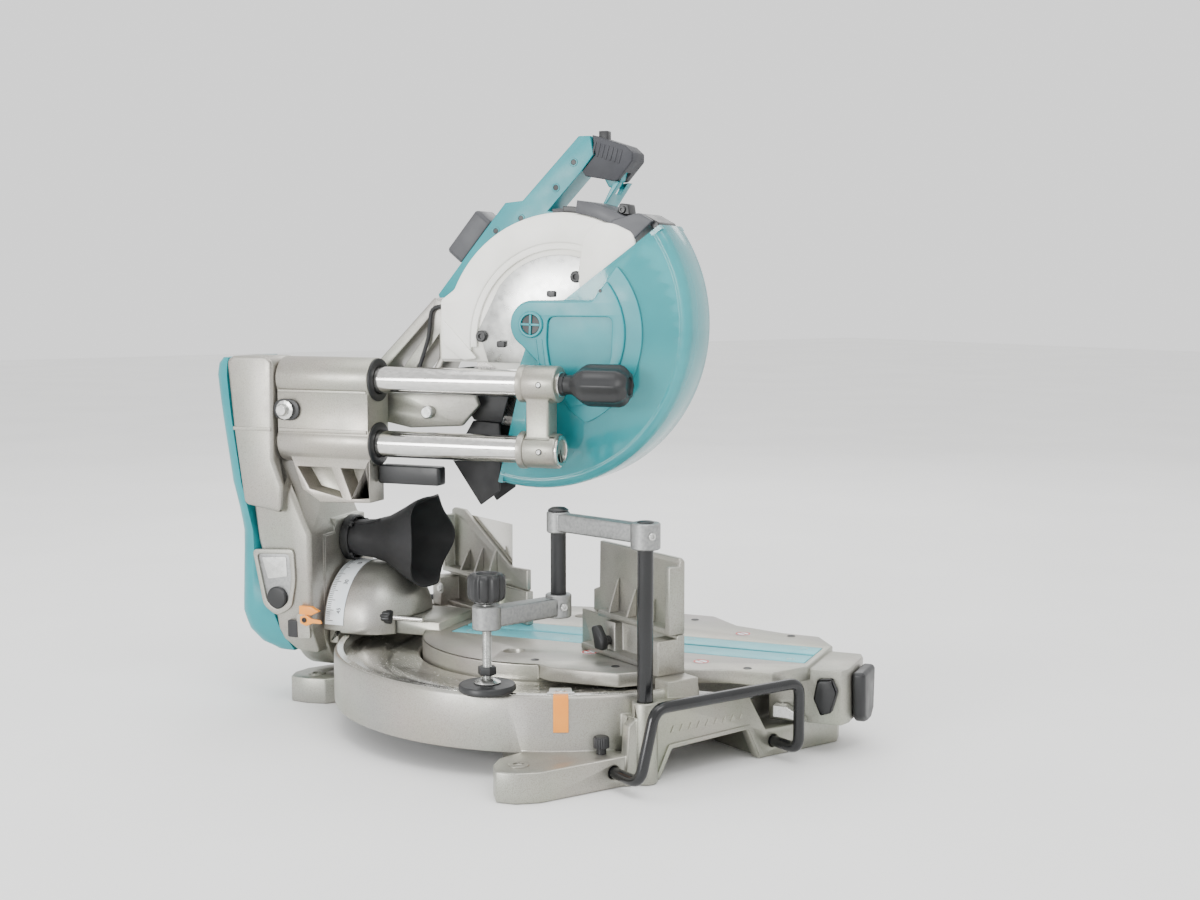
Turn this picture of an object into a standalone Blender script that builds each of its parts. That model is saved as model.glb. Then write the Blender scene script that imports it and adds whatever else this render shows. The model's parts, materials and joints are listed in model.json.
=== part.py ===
"""A sliding compound mitre saw: a 260 mm blade on a chopping, sliding and tilting head.

All sizes are in millimetres and are turned to metres when a mesh is made. The base stands on
the bench at z = 0 and the turntable turns about the z axis. +X is the operator's right, +Y is the
back. Everything above the base is drawn square to the base and then turned by MITRE_REST.
"""

import math

import bmesh
import bpy
from mathutils import Matrix, Vector

MM = 0.001
GAP = 0.3

# Driving dimensions
MITRE_REST = -57.0
TABLE_Z = 95.0
RING_R = 254.0
RIM_Z = 86.0
GROOVE_Z = 76.0
FRONT_RING_Z = 56.0
FLOOR_Z = 52.0
TURN_R = 155.0
TURN_PLATE = 15.0
FOOT_Z = 30.0
WALL_X = 265.0

ARM_TIP_Y = -306.0
ARM_HALF = 97.0
KERF_HALF = 38.0
KERF_DEPTH = 6.0
SLIT = 3.2

FENCE_FRONT = 0.0
FENCE_BACK = 12.0
FENCE_IN = 60.0
FENCE_OUT = 234.0
LOW_FENCE_Z = 135.0
HIGH_FENCE_Z = 214.0

BEVEL_R = 68.0
BEVEL_FRONT = 172.0
BEVEL_BACK = 270.0
NOZZLE_CLEARANCE = 7.0
NOZZLE_LOW_Z = TABLE_Z + BEVEL_R + NOZZLE_CLEARANCE
ARM_FRONT = 272.0
ARM_ROUND = 60.0
ARM_BACK = 372.0
TOP_Z = 409.0

RAIL_R = 15.0
RAIL_X = -75.0
RAIL_UP_Z = 384.0
RAIL_LOW_Z = 312.0
BARREL_R = 25.0
RAIL_FRONT = -20.0
CONNECTOR_Y = (-35.0, 4.0)
CARRIAGE_Y = (189.0, 308.0)

PIVOT = (232.0, 365.0)
PIVOT_R = 9.0
HEAD_BARREL_R = 26.0

ARBOR = (-17.0, 428.0)
BLADE_R = 130.0
BLADE_HALF = 1.2
ARBOR_R = 12.7
CASE_R = 141.0
CASE_X = (-33.0, 27.0)
CASE_WALL = 3.0

GUARD_AXIS = (12.0, 447.0)
GUARD_R = 182.0
GUARD_X = (-41.0, 31.0)
GUARD_WALL = 2.5
GUARD_FROM = -104.0
GUARD_TO = 36.0
COVER_X = (-47.0, -41.5)

MOTOR = (66.0, 478.0)
MOTOR_R = 44.0
MOTOR_X = (84.0, 160.0)
HANDLE_X = (36.0, 80.0)

VISE_ROD = (-262.0, 71.0)
VISE_ROD_R = 8.0
VISE_POST = (-145.0, 96.0)
VISE_SCREW = (-155.0, 188.0)
VISE_TOP = (239.0, 260.0)
VISE_LOW = (150.0, 174.0)
VISE_PAD_R = 29.0

HOLDER_R = 5.8
HOLDER_REACH = 39.0
HOLDER_X = WALL_X + HOLDER_REACH
HOLDER_LEG_Z = 16.0
HOLDER_TOP_Z = 86.0
HOLDER_Y = (-94.0, 108.0)

PLAN = Matrix.Identity(3)
SIDE = Matrix(((0, 0, 1), (1, 0, 0), (0, 1, 0)))
FRONT = Matrix(((1, 0, 0), (0, 0, -1), (0, 1, 0)))


# Scene and helpers
for old in list(bpy.data.objects):
    bpy.data.objects.remove(old, do_unlink=True)


def collection(name):
    made = bpy.data.collections.new(name)
    bpy.context.scene.collection.children.link(made)
    return made


SAW = collection("mitre_saw")
CUTTERS = collection("cutters")
CUTTERS.hide_render = True
TOOLS = {}


def material(name, colour, roughness, metallic=0.0, alpha=1.0):
    made = bpy.data.materials.new(name)
    made.use_nodes = True
    shader = made.node_tree.nodes["Principled BSDF"]
    shader.inputs["Base Color"].default_value = (*colour, 1.0)
    shader.inputs["Roughness"].default_value = roughness
    shader.inputs["Metallic"].default_value = metallic
    shader.inputs["Alpha"].default_value = alpha
    return made


CASTING = material("painted_casting", (0.46, 0.44, 0.38), 0.42, 0.6)
TEAL = material("teal_plastic", (0.022, 0.28, 0.31), 0.38)
WHITE = material("white_case", (0.86, 0.85, 0.80), 0.4)
CLEAR = material("teal_clear", (0.05, 0.50, 0.54), 0.12, 0.0, 0.35)
STEEL = material("ground_steel", (0.62, 0.61, 0.60), 0.2, 1.0)
BLACK = material("black_plastic", (0.012, 0.012, 0.013), 0.45)
GREY = material("grey_plastic", (0.07, 0.07, 0.08), 0.5)
ORANGE = material("orange_plastic", (0.92, 0.32, 0.03), 0.45)
BOARD = material("kerf_board", (0.14, 0.55, 0.60), 0.5)
ZINC = material("zinc_plate", (0.66, 0.67, 0.66), 0.35, 0.9)
VISE_GREY = material("vise_casting", (0.32, 0.32, 0.33), 0.5, 0.4)
RUBBER = material("rubber", (0.015, 0.015, 0.016), 0.8)
COPPER = material("copper", (0.7, 0.33, 0.16), 0.35, 1.0)


def arc(centre, radius, start, end, steps):
    """Points on an arc, from one angle to another in degrees."""
    turns = [math.radians(start + (end - start) * i / steps) for i in range(steps + 1)]
    return [(centre[0] + radius * math.cos(a), centre[1] + radius * math.sin(a)) for a in turns]


def circle(centre, radius, steps=24):
    return arc(centre, radius, 0, 360, steps)[:-1]


def box_outline(a_low, b_low, a_high, b_high):
    return [(a_low, b_low), (a_high, b_low), (a_high, b_high), (a_low, b_high)]


def link(name, mesh, finish=None):
    made = bpy.data.objects.new(name, mesh)
    SAW.objects.link(made)
    if finish:
        mesh.materials.clear()
        mesh.materials.append(finish)
    return made


def from_bmesh(name, bm, finish=None, smooth=False):
    mesh = bpy.data.meshes.new(name)
    bmesh.ops.recalc_face_normals(bm, faces=bm.faces[:])
    bm.to_mesh(mesh)
    bm.free()
    if smooth:
        mesh.shade_smooth()
        mesh.set_sharp_from_angle(angle=math.radians(35))
    return link(name, mesh, finish)


def box(name, low, high, finish=None):
    bm = bmesh.new()
    bmesh.ops.create_cube(bm, size=1.0)
    low, high = Vector(low) * MM, Vector(high) * MM
    size = high - low
    bmesh.ops.scale(bm, vec=size, verts=bm.verts[:])
    bmesh.ops.translate(bm, vec=(low + high) / 2, verts=bm.verts[:])
    return from_bmesh(name, bm, finish)


def rod(name, start, end, radius, finish=None, sides=24, end_radius=None):
    """A round bar, or a cone with another end_radius, between two points."""
    start, end = Vector(start) * MM, Vector(end) * MM
    line = end - start
    bm = bmesh.new()
    bmesh.ops.create_cone(
        bm, cap_ends=True, segments=sides, radius1=radius * MM,
        radius2=(radius if end_radius is None else end_radius) * MM, depth=line.length,
    )
    turn = Vector((0, 0, 1)).rotation_difference(line).to_matrix().to_4x4()
    bmesh.ops.transform(bm, matrix=Matrix.Translation((start + end) / 2) @ turn, verts=bm.verts[:])
    return from_bmesh(name, bm, finish, smooth=True)


def slab(name, outline, low, high, view=SIDE, finish=None, ease=0.0, holes=()):
    """A flat outline given thickness from low to high along the view's third axis."""
    curve = bpy.data.curves.new(name + "_outline", "CURVE")
    curve.dimensions = "2D"
    curve.fill_mode = "BOTH"
    curve.extrude = (high - low) / 2 * MM
    for points in (outline, *holes):
        spline = curve.splines.new("POLY")
        spline.points.add(len(points) - 1)
        for point, (a, b) in zip(spline.points, points):
            point.co = (a * MM, b * MM, 0, 1)
        spline.use_cyclic_u = True
    drawn = bpy.data.objects.new(name + "_outline", curve)
    SAW.objects.link(drawn)
    middle = (low + high) / 2 * (-1 if view is FRONT else 1)
    drawn.matrix_world = view.to_4x4() @ Matrix.Translation((0, 0, middle * MM))
    bpy.context.view_layer.update()
    graph = bpy.context.evaluated_depsgraph_get()
    mesh = bpy.data.meshes.new_from_object(drawn.evaluated_get(graph))
    bm = bmesh.new()
    bm.from_mesh(mesh)
    bmesh.ops.remove_doubles(bm, verts=bm.verts[:], dist=0.00001)
    bmesh.ops.recalc_face_normals(bm, faces=bm.faces[:])
    bm.to_mesh(mesh)
    bm.free()
    mesh.name = name
    made = link(name, mesh, finish)
    made.matrix_world = drawn.matrix_world.copy()
    bpy.data.objects.remove(drawn, do_unlink=True)
    bpy.data.curves.remove(curve)
    if ease:
        round_edges(made, ease)
    return made


def turned(name, profile, place, axis=(0, 0, 1), finish=None, steps=32):
    """A turned piece: profile is (radius, height) from its top down its outer side."""
    mesh = bpy.data.meshes.new(name)
    points = [(r * MM, 0.0, h * MM) for r, h in profile]
    mesh.from_pydata(points, [(i, i + 1) for i in range(len(points) - 1)], [])
    made = link(name, mesh, finish)
    screw = made.modifiers.new("turn", "SCREW")
    screw.axis = "Z"
    screw.steps = steps
    screw.render_steps = steps
    screw.use_merge_vertices = True
    screw.merge_threshold = 0.00001
    screw.use_smooth_shade = True
    turn = Vector((0, 0, 1)).rotation_difference(Vector(axis))
    made.matrix_world = Matrix.Translation(Vector(place) * MM) @ turn.to_matrix().to_4x4()
    return made


def tube(name, points, radius, finish=None, resolution=2, bend=0.0):
    """A bent bar or a cable along points, with round corners where bend is given."""
    route = rounded(points, bend) if bend else points
    curve = bpy.data.curves.new(name, "CURVE")
    curve.dimensions = "3D"
    curve.bevel_depth = radius * MM
    curve.bevel_resolution = resolution
    curve.use_fill_caps = True
    spline = curve.splines.new("POLY")
    spline.points.add(len(route) - 1)
    for point, place in zip(spline.points, route):
        point.co = (*(Vector(place) * MM), 1)
    curve.materials.append(finish)
    made = bpy.data.objects.new(name, curve)
    SAW.objects.link(made)
    return made


def rounded(points, bend, steps=4):
    """The same route with each inner corner replaced by an arc-like curve."""
    places = [Vector(p) for p in points]
    route = [places[0]]
    for before, corner, after in zip(places, places[1:], places[2:]):
        one = corner + (before - corner).normalized() * bend
        two = corner + (after - corner).normalized() * bend
        for i in range(steps + 1):
            t = i / steps
            route.append(one * (1 - t) ** 2 + corner * 2 * t * (1 - t) + two * t**2)
    route.append(places[-1])
    return route


def round_edges(piece, width, segments=1, angle=40):
    bevel = piece.modifiers.new("edges", "BEVEL")
    bevel.width = width * MM
    bevel.segments = segments
    bevel.limit_method = "ANGLE"
    bevel.angle_limit = math.radians(angle)
    return piece


def combine(piece, tools, operation):
    for tool in tools:
        step = piece.modifiers.new(tool.name, "BOOLEAN")
        step.operation = operation
        step.solver = "EXACT"
        step.object = tool
        SAW.objects.unlink(tool)
        CUTTERS.objects.link(tool)
        tool.hide_render = True
        tool.display_type = "WIRE"
        TOOLS.setdefault(piece.name, []).append(tool)
    return piece


def cut(piece, *tools):
    return combine(piece, tools, "DIFFERENCE")


def join(piece, *tools):
    return combine(piece, tools, "UNION")


JOINTS = {}


def joint(name, place, parent=None):
    """An empty on a joint's axis. Its pieces are parented to it where they are."""
    empty = bpy.data.objects.new(name, None)
    SAW.objects.link(empty)
    empty.empty_display_size = 0.03
    JOINTS[name] = Vector(place) * MM
    if parent:
        empty.parent = bpy.data.objects[parent]
        empty.location = JOINTS[name] - JOINTS[parent]
    else:
        empty.location = JOINTS[name]
    return empty


def attach(name, *pieces):
    for piece in pieces:
        for tool in TOOLS.get(piece.name, []):
            attach(name, tool)
        piece.parent = bpy.data.objects[name]
        piece.matrix_parent_inverse = Matrix.Translation(-JOINTS[name])


def at(y_z, x):
    return (x, y_z[0], y_z[1])


# Joints, from the bench up
joint("base_axis", (0, 0, 0))
joint("mitre_axis", (0, 0, 0), "base_axis")
joint("bevel_axis", (0, ARM_FRONT, TABLE_Z), "mitre_axis")
joint("slide_axis", (RAIL_X, CARRIAGE_Y[0], RAIL_UP_Z), "bevel_axis")
joint("chop_axis", at(PIVOT, 0), "slide_axis")
joint("blade_axis", at(ARBOR, 0), "chop_axis")
joint("motor_axis", at(MOTOR, MOTOR_X[0]), "chop_axis")
joint("guard_axis", at(GUARD_AXIS, GUARD_X[0]), "chop_axis")


def make_base():
    """The base casting: a ring with four feet, hand-grip side walls and fence pads."""
    wall = 8.0
    profile = [
        (0, FLOOR_Z), (TURN_R + 3, FLOOR_Z), (TURN_R + 3, GROOVE_Z), (RING_R - 12, GROOVE_Z),
        (RING_R - 8, RIM_Z), (RING_R - 2, RIM_Z), (RING_R, RIM_Z - 4), (RING_R, FOOT_Z - 2),
        (RING_R - wall, FOOT_Z - 2), (RING_R - wall, FLOOR_Z), (RING_R - 16, GROOVE_Z - 8),
        (TURN_R + 12, GROOVE_Z - 8), (TURN_R + 8, FLOOR_Z - 8), (34, FLOOR_Z - 8), (30, 0), (0, 0),
    ]
    base = turned("base_casting", profile, (0, 0, 0), finish=CASTING, steps=72)
    room = 20.0
    front = box("front_cut", (-RING_R - room, -RING_R - room, FRONT_RING_Z),
                (RING_R + room, FENCE_FRONT - 4, TABLE_Z + room))
    cut(base, front)
    for side in (-1, 1):
        tag = "left" if side < 0 else "right"
        foot = [(side * x, y) for x, y in (
            (150, 120), (WALL_X - 10, 84), (WALL_X - 3, 92), (WALL_X - 6, 192), (WALL_X - 16, 214),
            (WALL_X - 32, 226), (WALL_X - 53, 216), (WALL_X - 69, 200), (WALL_X - 77, 160), (120, 150))]
        toe = [(side * x, y) for x, y in (
            (150, -78), (150, -170), (WALL_X - 60, -206), (WALL_X - 14, -200), (WALL_X, -184),
            (WALL_X, -78))]
        rear = slab(f"{tag}_rear_foot", foot, 0, FOOT_Z, PLAN)
        fore = slab(f"{tag}_front_foot", toe, 0, FOOT_Z, PLAN)
        x_in, x_out = sorted((side * (WALL_X - 12), side * WALL_X))
        wall_outline = [
            (-90, 0), (-74, 0), (-58, 33), (40, 29), (54, 0), (96, 0), (92, 60), (62, 81),
            (-61, 68), (-84, 29)]
        grip = slab(f"{tag}_grip_wall", wall_outline, x_in, x_out, SIDE)
        reach = sorted((side * (RING_R - 30), side * (WALL_X - 4)))
        shelf = box(f"{tag}_shelf", (reach[0], -40, FRONT_RING_Z - 12), (reach[1], 84, FRONT_RING_Z + 10))
        pad_in, pad_out = sorted((side * (FENCE_OUT - 1), side * (FENCE_OUT + 22)))
        pad = box(f"{tag}_fence_pad", (pad_in, FENCE_FRONT - 1, FRONT_RING_Z),
                  (pad_out, FENCE_BACK + 26, TABLE_Z))
        boss = rod(f"{tag}_vise_boss", (side * -VISE_ROD[0], VISE_ROD[1], 0),
                   (side * -VISE_ROD[0], VISE_ROD[1], 82), 13, sides=20)
        bore = rod(f"{tag}_vise_bore", (side * -VISE_ROD[0], VISE_ROD[1], 30),
                   (side * -VISE_ROD[0], VISE_ROD[1], 100), VISE_ROD_R + GAP, sides=20)
        join(base, rear, fore, grip, shelf, pad, boss)
        cut(base, bore)
        for y in HOLDER_Y:
            leg = rod(f"{tag}_holder_hole_{round(y)}", (side * 90, y, HOLDER_LEG_Z),
                      (side * (WALL_X + 30), y, HOLDER_LEG_Z), HOLDER_R + GAP + 0.4, sides=16)
            cut(base, leg)
        bolt = rod(f"{tag}_bolt_hole", (side * 226, 196, -5), (side * 226, 196, FOOT_Z + 5), 4.5, sides=12)
        toe_bolt = rod(f"{tag}_toe_bolt_hole", (side * 236, -178, -5), (side * 236, -178, FOOT_Z + 5), 4.5,
                       sides=12)
        cut(base, bolt, toe_bolt)
    pin = rod("pivot_hole", (0, 0, FLOOR_Z - 20), (0, 0, FLOOR_Z + 5), 8 + GAP, sides=20)
    cut(base, pin)
    attach("base_axis", base)
    return base


def make_fences():
    """Each side's fixed low fence, sliding high fence and clamp screw."""
    for side in (-1, 1):
        tag = "left" if side < 0 else "right"
        start = FENCE_IN if side < 0 else FENCE_IN - 6
        low = [(side * a, b) for a, b in (
            (start, TABLE_Z + GAP), (FENCE_OUT, TABLE_Z + GAP), (FENCE_OUT, LOW_FENCE_Z), (start, LOW_FENCE_Z))]
        fence = slab(f"{tag}_fence", low, FENCE_FRONT, FENCE_FRONT + 9, FRONT, CASTING)
        inner = start + 20
        ledge = box(f"{tag}_fence_ledge", (min(side * inner, side * FENCE_OUT), FENCE_FRONT + 5, TABLE_Z + GAP),
                    (max(side * inner, side * FENCE_OUT), FENCE_BACK + 12, TABLE_Z + 7))
        x0, x1 = sorted((side * (FENCE_OUT - 22), side * FENCE_OUT))
        end = box(f"{tag}_fence_end", (x0, FENCE_FRONT + 2, TABLE_Z + GAP), (x1, FENCE_BACK + 22, LOW_FENCE_Z - 4))
        x2, x3 = sorted((side * (start + 60), side * (start + 78)))
        post = box(f"{tag}_fence_post", (x2, FENCE_FRONT + 2, TABLE_Z + 2), (x3, FENCE_BACK + 8, LOW_FENCE_Z - 2))
        join(fence, ledge, end, post)
        if side < 0:
            top = ((78, LOW_FENCE_Z + GAP), (FENCE_OUT, LOW_FENCE_Z + GAP), (FENCE_OUT, HIGH_FENCE_Z - 3),
                   (FENCE_OUT - 5, HIGH_FENCE_Z), (90, HIGH_FENCE_Z), (89, LOW_FENCE_Z + 28), (78, LOW_FENCE_Z + 24))
        else:
            top = ((58, LOW_FENCE_Z + GAP), (FENCE_OUT, LOW_FENCE_Z + GAP), (FENCE_OUT, HIGH_FENCE_Z - 3),
                   (FENCE_OUT - 5, HIGH_FENCE_Z), (FENCE_OUT - 30, HIGH_FENCE_Z), (96, 158), (58, 160))
        high = slab(f"{tag}_high_fence", [(side * a, b) for a, b in top], FENCE_FRONT, FENCE_FRONT + 6,
                    FRONT, CASTING)
        x4, x5 = sorted((side * 106, side * FENCE_OUT))
        rib = box(f"{tag}_high_fence_rib", (x4, FENCE_FRONT + 3, LOW_FENCE_Z + GAP),
                  (x5, FENCE_BACK + 8, LOW_FENCE_Z + 7))
        x6, x7 = sorted((side * (FENCE_OUT - 8), side * FENCE_OUT))
        cheek = box(f"{tag}_high_fence_cheek", (x6, FENCE_FRONT + 3, LOW_FENCE_Z + GAP),
                    (x7, FENCE_BACK + 8, HIGH_FENCE_Z - 8))
        join(high, rib, cheek)
        joint(f"{tag}_fence_slide", (side * FENCE_OUT, FENCE_BACK, LOW_FENCE_Z), "base_axis")
        attach("base_axis", fence)
        attach(f"{tag}_fence_slide", high)
        x = side * (start + 69)
        y = FENCE_BACK + 8 + GAP
        z = LOW_FENCE_Z - 22
        knob = slab(f"{tag}_fence_clamp", [(x + a, z + b) for a, b in (
            (-7, -9), (7, -9), (9, 0), (14, 14), (4, 17), (-5, 6), (-9, 0))], y + 6, y + 16, FRONT, BLACK, 2)
        stem = rod(f"{tag}_fence_stem", (x, y, z), (x, y + 8, z), 5, sides=16)
        join(knob, stem)
        joint(f"{tag}_clamp_axis", (x, y, z), "base_axis")
        attach(f"{tag}_clamp_axis", knob)


def make_vise():
    """The hold-down vise: rod, upper arm, short rod, lower arm, feed screw and pad."""
    joint("vise_rod_axis", (*VISE_ROD, 0), "base_axis")
    joint("vise_arm_axis", (*VISE_POST, 0), "vise_rod_axis")
    joint("vise_screw_axis", (*VISE_SCREW, 0), "vise_arm_axis")
    post = rod("vise_rod", (*VISE_ROD, 40), (*VISE_ROD, VISE_TOP[1] - 4), VISE_ROD_R)
    upper = arm_bar("vise_upper_arm", VISE_ROD, VISE_POST, VISE_TOP, 15, 12)
    boss = rod("vise_upper_boss", (*VISE_ROD, VISE_TOP[0] - 3), (*VISE_ROD, VISE_TOP[1] - 2), 14, sides=24)
    join(upper, boss, post)
    cut(upper, rod("vise_post_bore", (*VISE_POST, 200), (*VISE_POST, VISE_TOP[1] + 5), VISE_ROD_R + GAP))
    attach("vise_rod_axis", upper)
    cap = VISE_TOP[1] + GAP
    short = turned("vise_short_rod", [(0, cap + 4), (7, cap + 3.5), (10.5, cap + 1.5), (11, cap), (VISE_ROD_R, cap),
                                      (VISE_ROD_R, VISE_LOW[0] + 4), (0, VISE_LOW[0] + 4)],
                   (*VISE_POST, 0), finish=BLACK, steps=24)
    lower = arm_bar("vise_lower_arm", VISE_POST, VISE_SCREW, VISE_LOW, 14, 15)
    cut(lower, rod("vise_short_bore", (*VISE_POST, VISE_LOW[0] + 4 - GAP), (*VISE_POST, 200), VISE_ROD_R + GAP),
        rod("vise_screw_bore", (*VISE_SCREW, 100), (*VISE_SCREW, 200), 5 + GAP))
    attach("vise_arm_axis", short, lower)
    screw = turned("vise_screw", [
        (0, 206), (17, 206), (19.5, 203), (19.5, 183), (16, 179), (9, VISE_LOW[1] + 1), (5, VISE_LOW[1] + 1), (5, 112),
        (9, 112), (9, 104), (5, 104), (5, RIM_Z + GAP + 4), (0, RIM_Z + GAP + 4)], (*VISE_SCREW, 0), finish=ZINC, steps=24)
    sole = RIM_Z + GAP
    pad = turned("vise_pad", [(0, sole + 14), (8, sole + 14), (14, sole + 10), (VISE_PAD_R, sole + 8),
                              (VISE_PAD_R, sole + 3), (VISE_PAD_R - 3, sole), (0, sole)], (*VISE_SCREW, 0), finish=BLACK)
    cut(pad, rod("vise_pad_bore", (*VISE_SCREW, sole + 4 - GAP), (*VISE_SCREW, 120), 5 + GAP))
    joint("vise_turn_axis", (*VISE_SCREW, 0), "vise_screw_axis")
    attach("vise_turn_axis", screw)
    attach("vise_screw_axis", pad)


def arm_bar(name, start, end, heights, radius, end_radius):
    """A flat bar with round ends between two upright holes."""
    a, b = Vector(start), Vector(end)
    turn = math.degrees(math.atan2(b.y - a.y, b.x - a.x))
    outline = arc(start, radius, turn + 90, turn + 270, 8) + arc(end, end_radius, turn - 90, turn + 90, 8)
    return slab(name, outline, *heights, PLAN, VISE_GREY, 1.5)


def make_holders():
    """The two side work holders and their clamp screws."""
    for side in (-1, 1):
        tag = "left" if side < 0 else "right"
        near, far = HOLDER_Y
        route = [(side * 130, far, HOLDER_LEG_Z), (side * HOLDER_X, far, HOLDER_LEG_Z),
                 (side * HOLDER_X, far - 18, HOLDER_TOP_Z), (side * HOLDER_X, near, HOLDER_TOP_Z),
                 (side * HOLDER_X, near, HOLDER_LEG_Z), (side * 150, near, HOLDER_LEG_Z)]
        bar = tube(f"{tag}_holder", route, HOLDER_R, BLACK, 3, 12)
        joint(f"{tag}_holder_slide", (side * WALL_X, far, HOLDER_LEG_Z), "base_axis")
        attach(f"{tag}_holder_slide", bar)
        x = side * (WALL_X - 24)
        knob = turned(f"{tag}_holder_clamp", [(0, FOOT_Z + 18), (7, FOOT_Z + 18), (8, FOOT_Z + 16),
                      (8, FOOT_Z + 6), (5, FOOT_Z + 5), (5, FOOT_Z + GAP), (0, FOOT_Z + GAP)],
                      (x, far + 1, 0), finish=BLACK, steps=16)
        joint(f"{tag}_holder_clamp_axis", (x, far + 1, FOOT_Z), "base_axis")
        attach(f"{tag}_holder_clamp_axis", knob)


def half_turned(points):
    return points + [(-x, y) for x, y in reversed(points)]


def make_turntable():
    """The turntable disc and its front arm, with the kerf boards, pivot and lock."""
    top = TABLE_Z
    low = TABLE_Z - TURN_PLATE
    disc = turned("turntable", [(0, top), (TURN_R - 1, top), (TURN_R, top - 1), (TURN_R, FLOOR_Z + 6),
                                (TURN_R - 8, FLOOR_Z + GAP), (TURN_R - 14, FLOOR_Z + GAP), (TURN_R - 14, top - 12),
                                (34, top - 12), (30, FLOOR_Z + GAP), (0, FLOOR_Z + GAP)], (0, 0, 0), finish=CASTING,
                  steps=64)
    half = [(120, 20), (158, -60), (156, -135), (116, -176), (ARM_HALF, -236), (ARM_HALF - 4, -280),
            (52, ARM_TIP_Y)]
    plate = slab("turntable_plate", half_turned(half), low, top, PLAN)
    skirt = slab("turntable_skirt", [(62, -60), (62, -244), (46, -262), (-46, -262), (-62, -244), (-62, -60)],
                 FRONT_RING_Z + 4, low + 2, PLAN)
    block = slab("turntable_nose", [(46, -262), (44, -340), (30, -345), (-30, -345), (-44, -340), (-46, -262)],
                 33, top - 4, PLAN)
    bridge = box("turntable_bridge", (-44, 130, low + 8), (44, BEVEL_FRONT + 24, top + 10))
    join(disc, plate, skirt, block, bridge)
    slot = box("kerf_slot", (-KERF_HALF - GAP, ARM_TIP_Y + 8, top - KERF_DEPTH - GAP),
               (KERF_HALF + GAP, 118, top + 5))
    trench = box("blade_trench", (-14, ARM_TIP_Y + 20, top - 9), (14, 112, top))
    hollow = box("nose_hollow", (-34, -332, 25), (34, -270, top - 20))
    lock_hole = rod("lock_hole", (0, -337, 62), (0, -380, 62), 7 + GAP, sides=20)
    rod_hole = rod("rod_hole", (0, -380, 62), (0, -256, 62), 4 + GAP, sides=16)
    bolt = rod("pivot_bore", (0, 0, FLOOR_Z - 5), (0, 0, FLOOR_Z + 60), 8 + GAP, sides=20)
    cut(disc, slot, trench, hollow, lock_hole, rod_hole, bolt)
    for side in (-1, 1):
        tag = "left" if side < 0 else "right"
        x0, x1 = sorted((side * SLIT, side * KERF_HALF))
        board = slab(f"{tag}_kerf_board", box_outline(x0, ARM_TIP_Y + 8 + GAP, x1, 118 - GAP),
                     top - KERF_DEPTH, top, PLAN, BOARD)
        attach("mitre_axis", board)
        pocket = slab(f"{tag}_pocket", arc((side * 100, 10), 12, 0, 360, 16)[:-1], top - 8, top + 5, PLAN)
        cut(disc, pocket)
    bolt = rod("pivot_bolt", (0, 0, FLOOR_Z - 18), (0, 0, FLOOR_Z + 16), 8, STEEL, 20)
    attach("mitre_axis", disc, bolt)
    housing()
    front_lock()


def housing():
    """The bevel housing behind the disc: a drum on the bevel axis with a rounded nose."""
    nose = [(0, BEVEL_FRONT)] + [
        (BEVEL_R * math.sin(math.radians(a)), BEVEL_FRONT + 52 - 52 * math.cos(math.radians(a)))
        for a in (25, 45, 65, 80, 90)]
    profile = [(r, -y) for r, y in nose] + [(BEVEL_R, -BEVEL_BACK), (0, -BEVEL_BACK)]
    drum = turned("bevel_housing", profile, (0, 0, TABLE_Z), (0, -1, 0), CASTING, 40)
    under = box("drum_under", (-90, 100, 0), (90, RING_R + 4, RIM_Z + 1.5))
    sole = box("drum_sole", (-90, 255, 0), (90, BEVEL_BACK + 8, 72))
    neck = box("drum_neck", (-45, 100, 0), (45, BEVEL_FRONT + 24 + GAP, TABLE_Z + 10 + GAP))
    socket = rod("drum_socket", (0, BEVEL_BACK - 40, TABLE_Z), (0, BEVEL_BACK + 5, TABLE_Z), 7 + GAP, sides=24)
    cheeks = [box(f"drum_cheek_{side}", (min(side * 55, side * 90), 248, 0), (max(side * 55, side * 90), 280, 90))
              for side in (-1, 1)]
    cut(drum, under, sole, neck, socket, *cheeks)
    attach("mitre_axis", drum)


def front_lock():
    """The mitre lock grip with its push rod, and the stop lever under the arm."""
    joint("mitre_lock_axis", (0, -345, 62), "mitre_axis")
    grip = slab("mitre_lock_grip", [(-26, 86), (26, 86), (22, 38), (12, 31), (-12, 31), (-22, 38)],
                -360, -345 - GAP, FRONT, BLACK, 3)
    stem = rod("lock_stem", (0, -349, 62), (0, -339, 62), 7, sides=20)
    push = rod("lock_rod", (0, -350, 62), (0, RING_R * -1 - 3, 62), 4, sides=16)
    join(grip, stem, push)
    attach("mitre_lock_axis", grip)
    joint("mitre_cam_axis", (-46, -326, 66), "mitre_axis")
    cam = slab("mitre_cam_lever", [(-316, 82), (-332, 84), (-338, 70), (-332, 48), (-320, 44), (-312, 62)],
               -56, -44.4 - GAP, SIDE, BLACK, 2)
    attach("mitre_cam_axis", cam)
    joint("mitre_stop_axis", (-46, -276, 46), "mitre_axis")
    lever = slab("mitre_stop_lever", [(-270, 52), (-284, 52), (-304, 40), (-304, 34), (-284, 40), (-270, 40)],
                 -60, -46.5, SIDE, ZINC, 1)
    attach("mitre_stop_axis", lever)


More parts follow.
